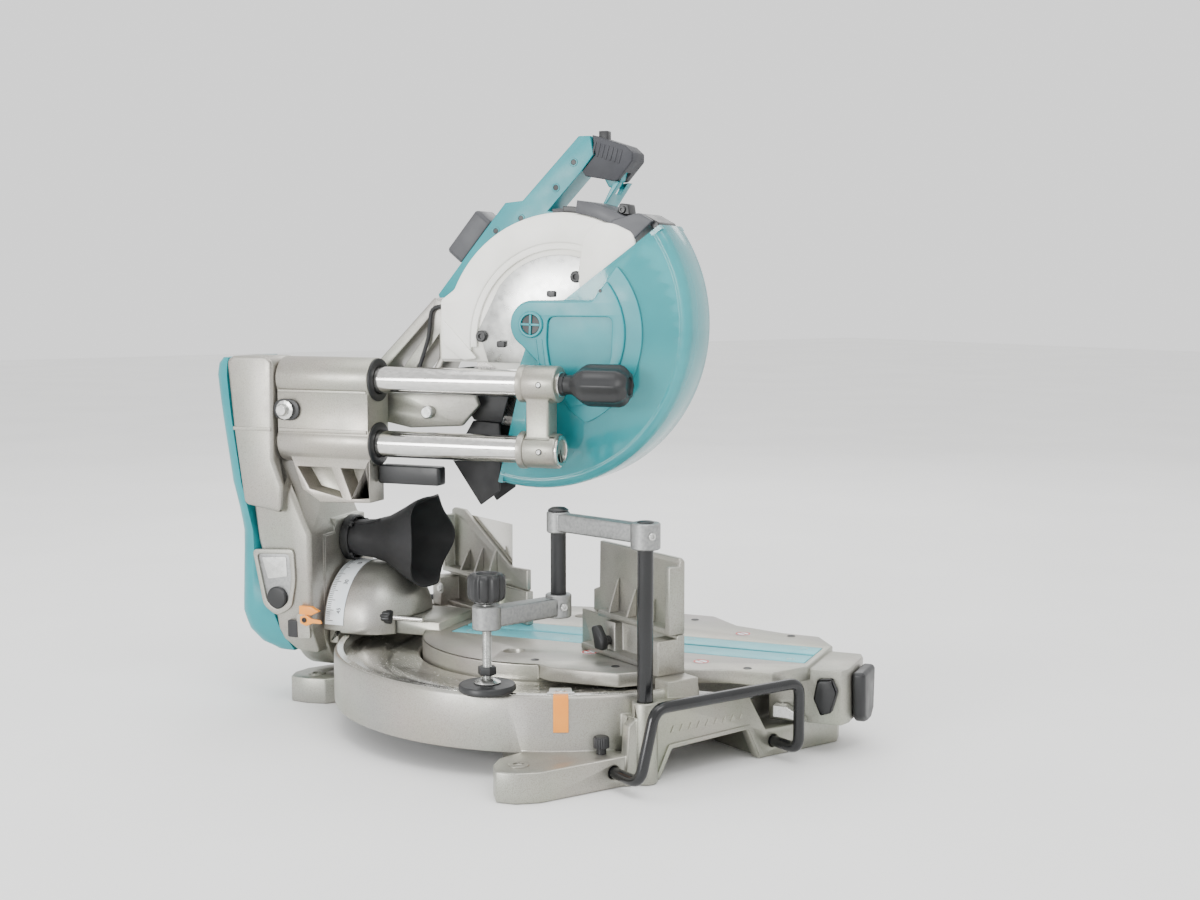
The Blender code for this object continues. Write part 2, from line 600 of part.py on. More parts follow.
def make_arm():
    """The tilting arm: casting, teal rear cover, rails, front link, knob and dust nozzle."""
    upper = slab("arm_casting", [
        (310, TOP_Z - 6), (316, TOP_Z), (ARM_BACK - 6, TOP_Z), (ARM_BACK, TOP_Z - 6), (ARM_BACK - 8, 322),
        (ARM_BACK - 20, 238), (302, 230), (300, 262), (312, 292)], -103, -49, SIDE, CASTING, 3)
    middle = slab("arm_middle", [
        (312, 290), (ARM_BACK - 14, 290), (344, 193), (325, 120), (317, 78), (302, 63), (ARM_FRONT + 2, 62),
        (ARM_FRONT + 2, 205)], -88, 34, SIDE, None, 4)
    lower = rod("arm_lower", (0, ARM_FRONT, TABLE_Z), (0, 316, TABLE_Z), ARM_ROUND, sides=40)
    waist = slab("arm_waist", box_outline(-58, TABLE_Z, 54, 200), ARM_FRONT, 318, FRONT)
    collar = box("arm_collar", (-34, ARM_FRONT, NOZZLE_LOW_Z - 4), (34, ARM_FRONT + 20, NOZZLE_LOW_Z + 46))
    shaft = rod("arm_shaft", (0, BEVEL_BACK - 36, TABLE_Z), (0, 300, TABLE_Z), 7, sides=24)
    join(upper, middle, lower, waist, collar, shaft)
    for tag, z in (("upper", RAIL_UP_Z), ("lower", RAIL_LOW_Z)):
        bore = rod(f"arm_{tag}_bore", (RAIL_X, 300, z), (RAIL_X, ARM_BACK - 12, z), RAIL_R + GAP, sides=28)
        cut(upper, bore)
        rail = turned(f"{tag}_rail", [(RAIL_R - 3, -RAIL_FRONT), (RAIL_R, -RAIL_FRONT), (RAIL_R, -ARM_BACK + 12 + GAP),
                                      (RAIL_R - 3, -ARM_BACK + 12 + GAP), (RAIL_R - 3, -RAIL_FRONT)],
                      (RAIL_X, 0, z), (0, -1, 0), STEEL, 28)
        attach("bevel_axis", rail)
    duct = rod("dust_passage", (0, ARM_FRONT - 20, NOZZLE_LOW_Z + 18), (0, 420, NOZZLE_LOW_Z + 18), 18, sides=20)
    cut(upper, duct)
    hollow = slab("arm_hollow", [(298, 172), (365, 172), (390, 280), (328, 280)], -76, 22, SIDE)
    cut(upper, corner("arm_corner"), hollow)
    attach("bevel_axis", upper)
    cover()
    link_and_knob()
    nozzle()
    pointer = slab("bevel_pointer", [(ARM_FRONT - 12, 117), (ARM_FRONT - 2, 112), (ARM_FRONT + 14, 112),
                                     (ARM_FRONT + 14, 122), (ARM_FRONT - 2, 122)], -94, -88 - GAP, SIDE, ORANGE)
    attach("bevel_axis", pointer)


def corner(name):
    """The slope under the arm's left side that clears the base when the arm tilts."""
    return slab(name, [(-140, 100), (-89, 100), (-66, 55), (-66, 0), (-140, 0)], 260, 430, FRONT)


def cover():
    """The teal plastic cover that closes the arm's back."""
    outline = [
        (ARM_BACK + GAP, TOP_Z - 2), (391, TOP_Z - 4), (399, 390), (393, 338), (380, 248), (374, 204), (379, 108),
        (364, 70), (350, 61), (319 + GAP, 61), (319 + GAP, 78), (327 + GAP, 119), (346 + GAP, 192),
        (354 + GAP, 238), (366 + GAP, 322)]
    shell = slab("rear_cover", outline, -101, 8, SIDE, TEAL, 1.5)
    low = slab("cover_low_left", [(300, 20), (430, 20), (430, 230), (300, 230)], -140, -86, SIDE)
    cut(shell, low, corner("cover_corner"))
    attach("bevel_axis", shell)


def link_and_knob():
    """The link across the rails' front ends, and the bevel lock knob on its shaft."""
    y0, y1 = CONNECTOR_Y
    middle = (y0 + y1) / 2
    link_piece = rod("rail_link", (RAIL_X, y0, RAIL_UP_Z), (RAIL_X, y1, RAIL_UP_Z), 20, CASTING, 32)
    low = rod("rail_link_low", (RAIL_X, y0, RAIL_LOW_Z), (RAIL_X, y1, RAIL_LOW_Z), 19, sides=32)
    web = box("rail_link_web", (RAIL_X - 13, y0 + 9, RAIL_LOW_Z), (RAIL_X + 13, y1 - 4, RAIL_UP_Z))
    join(link_piece, low, web)
    cut(link_piece,
        rod("link_up_bore", (RAIL_X, RAIL_FRONT - GAP, RAIL_UP_Z), (RAIL_X, y1 + 9, RAIL_UP_Z), RAIL_R + GAP, sides=28),
        rod("link_low_bore", (RAIL_X, y0 - 9, RAIL_LOW_Z), (RAIL_X, y1 + 9, RAIL_LOW_Z), RAIL_R + GAP, sides=28),
        rod("link_shaft_bore", (RAIL_X, y0 - 9, RAIL_UP_Z), (RAIL_X, middle, RAIL_UP_Z), 5 + GAP, sides=20))
    attach("bevel_axis", link_piece)
    joint("bevel_lock_axis", (RAIL_X, y0, RAIL_UP_Z), "bevel_axis")
    knob = turned("bevel_lock_knob", [
        (0, 115), (17, 115), (22.5, 108), (22.5, 68), (19, 60), (10, 50), (10, 39), (11, 39), (11, -y0 + GAP),
        (5, -y0 + GAP), (5, 30 - ARM_BACK), (0, 30 - ARM_BACK)], (RAIL_X, 0, RAIL_UP_Z), (0, -1, 0), BLACK, 16)
    attach("bevel_lock_axis", knob)


def section(half_top, half_side, half_low, low, mid, high):
    """One eight-sided section of the dust nozzle, as (x, z)."""
    return [(-half_low, low), (half_low, low), (half_side, mid - 8), (half_side, mid + 8),
            (half_top, high), (-half_top, high), (-half_side, mid + 8), (-half_side, mid - 8)]


def nozzle():
    """The rubber dust nozzle, a thin shell lofted from its collar to its flared mouth."""
    neck = NOZZLE_LOW_Z
    mouth_front = (162, 162, 130, 130, 160, 160, 130, 130)
    rings = [
        (section(24, 24, 24, neck, neck + 20, neck + 38), (ARM_FRONT - GAP,) * 8),
        (section(24, 25, 24, neck, neck + 20, neck + 40), (236,) * 8),
        (section(26, 33, 25, neck - 4, neck + 22, neck + 47), (200,) * 8),
        (section(29, 45, 27, neck - 20, neck + 22, neck + 63), (174,) * 8),
        (section(31, 55, 29, neck - 37, neck + 22, neck + 76), mouth_front),
    ]
    bm = bmesh.new()
    loops = [[bm.verts.new((x * MM, y * MM, z * MM)) for (x, z), y in zip(outline, depths)]
             for outline, depths in rings]
    for one, two in zip(loops, loops[1:]):
        for i in range(8):
            j = (i + 1) % 8
            bm.faces.new((one[i], one[j], two[j], two[i]))
    shell = from_bmesh("dust_nozzle", bm, BLACK)
    wall = shell.modifiers.new("wall", "SOLIDIFY")
    wall.thickness = 2.2 * MM
    wall.offset = 1.0
    attach("bevel_axis", shell)


def make_carriage():
    """The carriage on the rails, its bushes, pivot shaft, spring, stop pin and lock."""
    y0, y1 = CARRIAGE_Y
    body = box("carriage", (-97, y0 + 1, RAIL_LOW_Z), (-50, y1 - 1, RAIL_UP_Z), CASTING)
    up = rod("carriage_up", (RAIL_X, y0, RAIL_UP_Z), (RAIL_X, y1, RAIL_UP_Z), BARREL_R, sides=32)
    low = rod("carriage_low", (RAIL_X, y0, RAIL_LOW_Z), (RAIL_X, y1, RAIL_LOW_Z), BARREL_R - 1, sides=32)
    gusset = slab("carriage_gusset", [(y0 + 2, 300), (y0 + 2, 246), (256, 244), (280, 258), (y1 - 12, 300)],
                  -92, -60, SIDE)
    bridge = box("carriage_bridge", (-60, PIVOT[0] + HEAD_BARREL_R + 6, 334), (61, y1 - 2, TOP_Z - 8))
    ear = slab("carriage_ear", arc(PIVOT, 22, 90, 270, 8) + [(y1 - 5, PIVOT[1] - 22), (y1 - 5, PIVOT[1] + 22)], 48, 62, SIDE)
    join(body, up, low, gusset, bridge, ear)
    pocket = slab("gusset_pocket", [(y0 + 8, 284), (y0 + 4, 252), (y0 + 26, 250), (y0 + 40, 284)], -110, -66, SIDE)
    pocket_two = slab("gusset_pocket_two", [(y0 + 52, 284), (y0 + 38, 250), (270, 259), (286, 284)], -110, -66, SIDE)
    cut(body, pocket, pocket_two,
        rod("shaft_hole", at(PIVOT, -59 - GAP), at(PIVOT, 70), PIVOT_R + GAP, sides=20))
    for tag, z in (("upper", RAIL_UP_Z), ("lower", RAIL_LOW_Z)):
        cut(body, rod(f"carriage_{tag}_bore", (RAIL_X, y0 - 9, z), (RAIL_X, y1 + 9, z), RAIL_R + GAP, sides=28))
    shaft = rod("chop_shaft", at(PIVOT, -59), at(PIVOT, 66), PIVOT_R, STEEL, 20)
    coil = [(24 + 20 * i / 80, PIVOT[0] + 14 * math.cos(i * math.pi / 8), PIVOT[1] + 14 * math.sin(i * math.pi / 8))
            for i in range(81)]
    spring = tube("return_spring", coil, 1.8, STEEL, 1)
    lock = turned("slide_lock_screw", [(0, 112), (6, 112), (7, 110), (7, 105), (11, 104), (11, 98 + GAP), (0, 98 + GAP)],
                  (0, y1 - 14, 349), (-1, 0, 0), ZINC, 12)
    laser = slab("guide_light", box_outline(112, 267, 190, 288), -76, -58.5, SIDE, BLACK, 2)
    lug = box("light_lug", (-70, 186, 270), (-62, y0 + 8, 284))
    join(body, lug)
    cut(body, box("light_room", (-76 - GAP, 100, 267 - GAP), (-58.5 + GAP, 190 + GAP, 288 + GAP)))
    joint("slide_lock_axis", (-98, y1 - 14, 349), "slide_axis")
    attach("slide_lock_axis", lock)
    attach("slide_axis", body, shaft, spring, laser)


def make_head():
    """The head's own castings: arm, blade case, case plate, black dust guide and flap."""
    barrel = rod("head_arm", at(PIVOT, -44), at(PIVOT, 20), HEAD_BARREL_R, CASTING, 32)
    web = slab("head_web", [(232, 340), (258 - 2, 372), (222, 396), (141, 476), (129 + GAP, 472), (129 + GAP, 404), (150, 360)],
               -28, 18, SIDE)
    window = slab("head_window", [(206, 394), (186, 392), (148, 440), (148, 452)], -40, 30, SIDE)
    window_two = slab("head_window_two", [(172, 388), (150, 384), (136, 408), (136, 432)], -40, 30, SIDE)
    plate = slab("head_plate", [(232, 340), (232, 390), (180, 371), (84, 371), (78, 356), (100, 332), (165, 328)],
                 -44, -36.6, SIDE)
    join(barrel, web, plate)
    cut(barrel, rod("head_bore", at(PIVOT, -70), at(PIVOT, 70), PIVOT_R + GAP, sides=20), window, window_two)
    attach("chop_axis", barrel)
    pin = turned("stop_pin", [(0, 53), (6, 53), (7.5, 51), (7.5, 44 + GAP), (0, 44 + GAP)], (0, 140, 347), (-1, 0, 0),
                 STEEL, 20)
    joint("stop_pin_axis", (-44, 140, 347), "chop_axis")
    attach("stop_pin_axis", pin)
    case()
    guide = slab("dust_guide", [(40, 396), (118, 396), (115, 370), (93, 338), (58, 336)], -27, 21, SIDE, BLACK)
    cut(guide, slab("guide_hollow", circle(ARBOR, BLADE_R + 3.5, 64), -24, 18, SIDE))
    flap = slab("dust_flap", [(62, 335), (95, 337), (122, 292), (86, 241), (62, 258), (60, 300)], -25, 19, SIDE, RUBBER)
    cut(flap, slab("flap_hollow", [(56, 345), (88, 330), (114, 292), (84, 232), (50, 250), (50, 300)], -22, 16, SIDE),
        slab("flap_blade_room", circle(ARBOR, BLADE_R + 3.5, 64), -22, 16, SIDE))
    attach("chop_axis", guide, flap)


def case():
    """The off-white blade case: two walls joined by a curved rim, open underneath."""
    x0, x1 = CASE_X
    front, back = 116, 18
    outline = arc(ARBOR, CASE_R, front, back, 20) + [
        (129, 470), (129, 404), (74, 404), (40, 384), (-30, 380), (-70, 410), (-70, 500)]
    rim = slab("blade_case", outline, x0, x1, SIDE, WHITE)
    room = arc(ARBOR, CASE_R - CASE_WALL, front + 9, back + 0.5, 20) + [
        (126, 469), (126, 300), (-120, 300), (-120, 540)]
    cut(rim, slab("case_room", room, x0 + CASE_WALL, x1 - CASE_WALL, SIDE))
    arbor_hole = rod("case_spindle_hole", at(ARBOR, 10), at(ARBOR, 50), 20, sides=24)
    bolt_hole = rod("case_bolt_hole", at(ARBOR, -50), at(ARBOR, -20), 27, sides=24)
    cut(rim, arbor_hole, bolt_hole)
    attach("chop_axis", rim)
    plate_outline = arc(ARBOR, 95, 112, 40, 10) + [(82, 440), (70, 404), (20, 404), (20, 440), (-34, 440), (-50, 470)]
    plate = slab("case_plate", plate_outline, x0 - 2 - GAP, x0 - GAP, SIDE, ZINC)
    attach("chop_axis", plate)


def make_guard():
    """The clear lower guard that swings about its own pivot, its boss and the centre cover."""
    x0, x1 = GUARD_X
    a0, a1 = 180 - GUARD_FROM, 180 - GUARD_TO
    side = arc(GUARD_AXIS, GUARD_R, a1, a0, 32) + arc(GUARD_AXIS, 62, a0, a1 + 360, 24)
    guard = slab("lower_guard", side, x0, x1, SIDE, CLEAR)
    room = slab("guard_room", circle(GUARD_AXIS, GUARD_R - GUARD_WALL, 64), x0 + GUARD_WALL, x1 - GUARD_WALL, SIDE)
    mouth = slab("guard_mouth", circle(GUARD_AXIS, GUARD_R - 30, 48), x1 - GUARD_WALL - 1, x1 + 5, SIDE)
    hole = slab("guard_hole", circle(GUARD_AXIS, 12 + GAP, 20), x0 - 5, x0 + 9, SIDE)
    cut(guard, room, mouth, hole)
    attach("guard_axis", guard)
    c0, c1 = COVER_X
    centre = (-12, 438)
    outline = (arc(centre, 106, 136, 248, 20) + [(-34, 352), (4, 404)] +
               arc(GUARD_AXIS, 27, 300, 450, 8) + [(-61, 475)])
    cover_piece = slab("centre_cover", outline, c0, c1, SIDE, TEAL)
    pocket = slab("cover_pocket", [(-84, 456), (-2, 456), (-2, 400), (-40, 378), (-84, 400)], c0 - 5, c0 + 3, SIDE)
    cut(cover_piece, pocket, rod("cover_pin_hole", at(GUARD_AXIS, c0 - 5), at(GUARD_AXIS, c1 + 5), 6 + GAP, sides=20))
    pin = turned("guard_pin", [(0, 54), (16, 54), (17, 52), (17, -c0 + GAP), (6, -c0 + GAP), (6, -x0 + GAP),
                               (12, -x0 + GAP), (12, 38), (0, 38)],
                 at(GUARD_AXIS, 0), (-1, 0, 0), TEAL, 24)
    bracket = slab("guard_bracket", arc(ARBOR, CASE_R + 14, 128, 98, 6) + arc(ARBOR, CASE_R + GAP, 98, 128, 6),
                   -37, 28, SIDE, GREY)
    strip = slab("bracket_strip", arc(ARBOR, CASE_R + 5, 100, 84, 4) + arc(ARBOR, CASE_R + GAP, 84, 100, 4), -20, 20, SIDE)
    join(bracket, strip)
    attach("chop_axis", cover_piece, pin, bracket)


def make_blade():
    """The toothed blade with its flanges, bolt and spindle, and the belt drive behind it."""
    teeth = 45
    outline = []
    for i in range(teeth):
        start = 360 * i / teeth
        for turn, radius in ((0, BLADE_R), (0.9, BLADE_R - 0.4), (1.4, BLADE_R - 8), (3.4, BLADE_R - 9), (4.6, BLADE_R - 5)):
            outline += arc(ARBOR, radius, start + turn, start + turn, 1)[:1]
    blade = slab("blade", outline, -BLADE_HALF, BLADE_HALF, SIDE, STEEL, 0, [circle(ARBOR, ARBOR_R, 24)])
    face = BLADE_HALF + GAP
    spindle = turned("spindle", [
        (0, 6), (5, 6), (5, face), (ARBOR_R - GAP, face), (ARBOR_R - GAP, -face), (24, -face), (24, -8), (8, -8),
        (8, -40), (30, -40), (30, -55), (6, -55), (6, -57), (0, -57)], at(ARBOR, 0), (-1, 0, 0), STEEL, 28)
    bolt = turned("arbor_bolt", [
        (0, 20), (8, 20), (8, 7), (22, 7), (24, 5), (24, face + GAP), (5 + GAP, face + GAP), (5 + GAP, 6 + GAP),
        (0, 6 + GAP)], at(ARBOR, 0), (-1, 0, 0), STEEL, 28)
    attach("blade_axis", blade, spindle, bolt)
    rotor = turned("motor_rotor", [(0, -38), (5, -38), (5, -40), (15, -40), (15, -56), (8, -56), (8, -90), (24, -90),
                                   (24, -146), (6, -146), (6, -154), (0, -154)], at(MOTOR, 0), (-1, 0, 0), COPPER, 24)
    attach("motor_axis", rotor)
    belt()


def belt():
    """The flat ribbed belt round both pulleys."""
    a, b = Vector(ARBOR), Vector(MOTOR)
    big, small, thick = 30 + GAP, 15 + GAP, 2.5
    turn = math.degrees(math.atan2(b.y - a.y, b.x - a.x))
    lean = math.degrees(math.asin((big - small) / (b - a).length))

    def loop(extra):
        return (arc(ARBOR, big + extra, turn + 90 - lean, turn + 270 + lean, 16) +
                arc(MOTOR, small + extra, turn - 90 + lean, turn + 90 - lean, 10))

    strap = slab("drive_belt", loop(thick), 41, 55, SIDE, RUBBER, 0, [loop(0)])
    room = 4.0
    housing_loop = loop(thick + room + 3)
    shell = slab("drive_housing", housing_loop, 28 + GAP, 62, SIDE, CASTING)
    hollow = slab("drive_hollow", loop(thick + room), 36, 62 - 4, SIDE)
    cut(shell, hollow, rod("drive_spindle_hole", at(ARBOR, 20), at(ARBOR, 40), 8 + 0.6, sides=24),
        rod("drive_motor_hole", at(MOTOR, 40), at(MOTOR, 70), 9, sides=24))
    attach("chop_axis", strap, shell)


def make_motor():
    """The motor housing with its stator, the handle, grip, trigger, switch and battery."""
    x0, x1 = MOTOR_X
    housing_piece = turned("motor_housing", [(0, -62 - GAP), (MOTOR_R - 8, -62 - GAP), (MOTOR_R, -x0), (MOTOR_R, -x1 + 6),
                                             (MOTOR_R - 8, -x1), (0, -x1)], at(MOTOR, 0), (-1, 0, 0), TEAL, 36)
    cut(housing_piece, rod("motor_hollow", at(MOTOR, 86), at(MOTOR, x1 - 4), MOTOR_R - 4, sides=32),
        rod("motor_front_hole", at(MOTOR, 50), at(MOTOR, 90), 9, sides=24),
        box("motor_vent", (100, MOTOR[0] + MOTOR_R - 8, MOTOR[1] - 12), (140, MOTOR[0] + MOTOR_R + 8, MOTOR[1] - 6)))
    attach("chop_axis", housing_piece)
    handle()
    battery()


def handle():
    """The teal handle shell with its dark grip, trigger and lock-off button."""
    x0, x1 = HANDLE_X
    outline = [
        (172, 480), (84, 584), (62, 586), (-8, 657), (-22, 657), (-26, 636), (-10, 616), (30, 574), (-30, 566),
        (-50, 604), (-58, 605), (-36, 573), (-20, 552), (60, 552), (140, 450), (166, 458)]
    shell = slab("handle", outline, x0 + 4, x1, SIDE, TEAL, 3)
    room = slab("handle_motor_room", circle(MOTOR, MOTOR_R + GAP + 0.4, 36), 20, 120, SIDE)
    cut(shell, room)
    grip = slab("grip", [(-24, 658), (-64, 645), (-73, 637), (-73, 628), (-54, 606 + GAP), (-50, 606), (-16, 612),
                         (-12, 618), (-28, 636)], x0 + 5, x1 - 1, SIDE, GREY, 3)
    notch = slab("grip_notch", [(-63, 621), (-30, 628), (-24, 600), (-58, 596)], 50, 66, SIDE)
    slot = slab("button_slot", box_outline(-39, 633, -27, 670), 52, 64, SIDE)
    cut(grip, notch, slot, slab("grip_shell_room", [(-26 + 2, 662), (20, 662), (20, 600), (-9, 616), (-25 - GAP, 636)],
                                20, 90, SIDE))
    trigger = slab("trigger", [(-60, 621), (-32, 627), (-30, 618), (-40, 600), (-48, 598), (-55, 607)],
                   50 + GAP, 66 - GAP, SIDE, TEAL, 1)
    button = slab("lock_off_button", box_outline(-38.4, 638, -27.6, 663), 52 + GAP, 64 - GAP, SIDE, BLACK)
    joint("trigger_axis", (58, -32, 627), "chop_axis")
    joint("button_axis", (58, -33, 650), "chop_axis")
    attach("chop_axis", shell, grip)
    attach("trigger_axis", trigger)
    attach("button_axis", button)


def battery():
    """The battery pack that slides off its shoe behind the handle."""
    a = Vector((90, 577))
    along = Vector((0.64, -0.77)).normalized()
    out = Vector((0.77, 0.64)).normalized()

    def quad(start, length, depth):
        p = a + along * start[0] + out * start[1]
        return [tuple(p), tuple(p + along * length), tuple(p + along * length + out * depth), tuple(p + out * depth)]

    shoe = slab("battery_shoe", quad((16, -20), 66, 20), 44, 79, SIDE)
    handle_piece = bpy.data.objects["handle"]
    cut(handle_piece, slab("trigger_room", [(-68, 592), (-28, 592), (-28, 630), (-68, 630)], 50, 66, SIDE))
    cut(handle_piece, slab("pack_room", quad((10, 0), 200, 60), 20, 110, SIDE))
    join(handle_piece, shoe)
    pack = slab("battery", quad((20, GAP), 62, 25), 42, 84, SIDE, GREY, 3)
    joint("battery_axis", (68, a.x, a.y), "chop_axis")
    attach("chop_axis", handle_piece)
    attach("battery_axis", pack)


def make_cable():
    """The cable held along the head, from its side plate up to the blade case."""
    y = 129 + 1
    route = [(-40.3, y + 27, 371 + GAP), (-40.3, y + 27, 390), (-31.5, y + 17, 430), (-31.5, y + 13, 464),
             (-31.5, y, 466)]
    cable = tube("head_cable", route, 2.4, BLACK, 2, 8)
    attach("chop_axis", cable)


make_base()
make_fences()
make_vise()
make_holders()
make_turntable()
make_arm()
make_carriage()
make_head()
make_cable()
make_guard()
make_blade()
make_motor()

bpy.data.objects["mitre_axis"].rotation_euler.z = math.radians(MITRE_REST)
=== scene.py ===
# %% [markdown]
# # A sliding compound mitre saw
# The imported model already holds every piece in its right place. This lesson dresses it: each
# casting, moulding and bar gets its real edges, its small parts and its finish. We load the frame
# first and keep its box, because nothing added later may make the saw bigger.

# %% Load the frame
import json
import math

import bmesh
import bpy
from mathutils import Matrix, Vector

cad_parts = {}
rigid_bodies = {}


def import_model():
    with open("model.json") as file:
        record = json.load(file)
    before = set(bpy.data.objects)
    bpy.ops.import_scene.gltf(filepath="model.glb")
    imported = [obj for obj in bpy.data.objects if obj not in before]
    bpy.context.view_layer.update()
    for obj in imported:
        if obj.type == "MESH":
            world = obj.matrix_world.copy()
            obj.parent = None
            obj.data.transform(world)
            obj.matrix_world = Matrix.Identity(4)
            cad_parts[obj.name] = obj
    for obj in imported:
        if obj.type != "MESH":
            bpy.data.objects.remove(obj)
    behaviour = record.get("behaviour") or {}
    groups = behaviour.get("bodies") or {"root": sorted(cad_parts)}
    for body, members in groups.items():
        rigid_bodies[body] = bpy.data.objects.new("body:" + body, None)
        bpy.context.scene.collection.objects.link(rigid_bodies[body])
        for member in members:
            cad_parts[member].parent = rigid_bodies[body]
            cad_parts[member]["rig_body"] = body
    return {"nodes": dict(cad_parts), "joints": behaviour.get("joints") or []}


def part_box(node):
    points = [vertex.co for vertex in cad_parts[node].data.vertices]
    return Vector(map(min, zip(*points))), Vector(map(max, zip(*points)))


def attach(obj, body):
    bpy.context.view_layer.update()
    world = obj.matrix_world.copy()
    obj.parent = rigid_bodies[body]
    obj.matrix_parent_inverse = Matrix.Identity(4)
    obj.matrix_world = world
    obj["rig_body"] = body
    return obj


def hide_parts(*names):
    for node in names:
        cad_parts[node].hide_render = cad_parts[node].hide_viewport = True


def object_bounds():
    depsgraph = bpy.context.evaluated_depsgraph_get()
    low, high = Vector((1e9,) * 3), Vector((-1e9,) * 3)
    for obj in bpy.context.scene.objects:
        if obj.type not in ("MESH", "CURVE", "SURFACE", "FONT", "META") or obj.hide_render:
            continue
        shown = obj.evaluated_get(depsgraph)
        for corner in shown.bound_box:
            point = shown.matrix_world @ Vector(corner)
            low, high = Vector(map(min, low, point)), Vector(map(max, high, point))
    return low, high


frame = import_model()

CAD_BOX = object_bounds()
print("nodes", len(frame["nodes"]), "box", [round(x, 3) for corner in CAD_BOX for x in corner])

# %% [markdown]
# The head, arm and turntable stand turned on the base. We read that turn from the slide joint,
# whose axis runs along the rails, and draw those pieces square in a head frame of their own.

# %% The two frames that sizes are written in
MM = 0.001
AXES = {joint["name"]: joint for joint in frame["joints"]}
RAIL_WAY = Vector(AXES["slide"]["axis"])
BASE = Matrix.Identity(4)
HEAD = Matrix.Rotation(math.atan2(-RAIL_WAY.x, RAIL_WAY.y), 4, "Z")
SIDE = Matrix(((0, 0, 1), (1, 0, 0), (0, 1, 0))).to_4x4()    # outlines drawn as (y, z), thick along x
PLAN = Matrix.Identity(4)                                    # outlines drawn as (x, y), thick along z
FRONT = Matrix(((1, 0, 0), (0, 0, 1), (0, 1, 0))).to_4x4()   # outlines drawn as (x, z), thick along y
print("turntable turned", round(math.degrees(HEAD.to_euler().z), 1), "degrees")

# %% [markdown]
# ## Camera, light and floor
# A long lens from the left front, a little above the table, and three big soft lamps over a pale
# floor. The lamps are large so that their reflections in metal are broad bands, not spots.

# %% Camera and stage
WHOLE = (CAD_BOX[0] + CAD_BOX[1]) / 2
camera = bpy.data.objects.new("camera", bpy.data.cameras.new("camera"))
bpy.context.scene.collection.objects.link(camera)
LENS_MM, SENSOR_MM = 49.2, 36
CAMERA_AT = (-1.538, 1.012, 0.495)
HEADING, PITCH = math.radians(34.8), math.radians(5.9)
camera.data.lens = LENS_MM
camera.data.sensor_width = SENSOR_MM
camera.location = CAMERA_AT
LOOK = Vector((math.cos(HEADING), -math.sin(HEADING), -math.tan(PITCH)))
camera.rotation_euler = LOOK.to_track_quat("-Z", "Y").to_euler()
bpy.context.scene.camera = camera


def lamp(name, place, width, power, target=WHOLE):
    light = bpy.data.lights.new(name, "AREA")
    light.shape = "RECTANGLE"
    light.size = width
    light.size_y = width * 0.7
    light.energy = power
    made = bpy.data.objects.new(name, light)
    made.location = place
    made.rotation_euler = (Vector(target) - made.location).to_track_quat("-Z", "Y").to_euler()
    bpy.context.scene.collection.objects.link(made)


lamp("key", (-1.6, 0.2, 2.4), 1.6, 26)
lamp("card", (-0.67, 2.93, 0.86), 1.25, 60, (-0.09, -0.01, 0.86))
lamp("top", (0.3, 0.2, 2.6), 2.2, 24)
lamp("rim", (1.6, -1.6, 1.6), 1.6, 14)
world = bpy.data.worlds.new("studio")
world.use_nodes = True
world.node_tree.nodes["Background"].inputs["Color"].default_value = (1, 1, 1, 1)
world.node_tree.nodes["Background"].inputs["Strength"].default_value = 1.35
bpy.context.scene.world = world

# %% [markdown]
# ## Tools for finishes
# Colours are written as sRGB hex and turned to linear by one function. One small function adds a
# node with its settings and links. Patterns use object coordinates, which are metres in this frame,
# so a scale of one over a real size in metres draws the pattern at that size.

# %% Helpers for materials
def linear(hex_colour):
    """An sRGB hex colour as linear red, green, blue and alpha."""
    parts = [int(hex_colour[i:i + 2], 16) / 255 for i in (1, 3, 5)]
    return (*[c / 12.92 if c <= 0.04045 else ((c + 0.055) / 1.055) ** 2.4 for c in parts], 1.0)


def add(tree, kind, settings=None, links=None):
    """One node with its settings by property or input name, and its inputs linked from sockets."""
    node = tree.nodes.new(kind)
    for key, value in (settings or {}).items():
        if isinstance(key, str) and hasattr(node, key):
            setattr(node, key, value)
        else:
            node.inputs[key].default_value = value
    for key, socket in (links or {}).items():
        tree.links.new(socket, node.inputs[key])
    return node


def start(name, **sockets):
    """A new material with its Principled sockets set, and its tree, shader and coordinates."""
    made = bpy.data.materials.new(name)
    made.use_nodes = True
    tree = made.node_tree
    shader = tree.nodes["Principled BSDF"]
    for socket, value in sockets.items():
        shader.inputs[socket.replace("_", " ")].default_value = value
    where = add(tree, "ShaderNodeTexCoord").outputs["Object"]
    return made, tree, shader, where


def per(size_mm):
    """The texture scale that draws a pattern of this size."""
    return 1000 / size_mm


def mottled(tree, shader, where, dark, light, size_mm, low=0.35, high=0.65):
    """Base colour drifting between two colours over patches of about this size."""
    noise = add(tree, "ShaderNodeTexNoise", {"Scale": per(size_mm), "Detail": 4.0}, {"Vector": where})
    ramp = add(tree, "ShaderNodeValToRGB", {}, {"Fac": noise.outputs["Fac"]})
    ramp.color_ramp.elements[0].position = low
    ramp.color_ramp.elements[1].position = high
    ramp.color_ramp.elements[0].color = linear(dark)
    ramp.color_ramp.elements[1].color = linear(light)
    tree.links.new(ramp.outputs["Color"], shader.inputs["Base Color"])
    return ramp


def uneven_gloss(tree, shader, where, low, high, size_mm):
    """Roughness wandering between two values, as handling and moulding leave it."""
    noise = add(tree, "ShaderNodeTexNoise", {"Scale": per(size_mm), "Detail": 3.0}, {"Vector": where})
    spread = add(tree, "ShaderNodeMapRange",
                 {"From Min": 0.3, "From Max": 0.7, "To Min": low, "To Max": high},
                 {"Value": noise.outputs["Fac"]})
    tree.links.new(spread.outputs["Result"], shader.inputs["Roughness"])


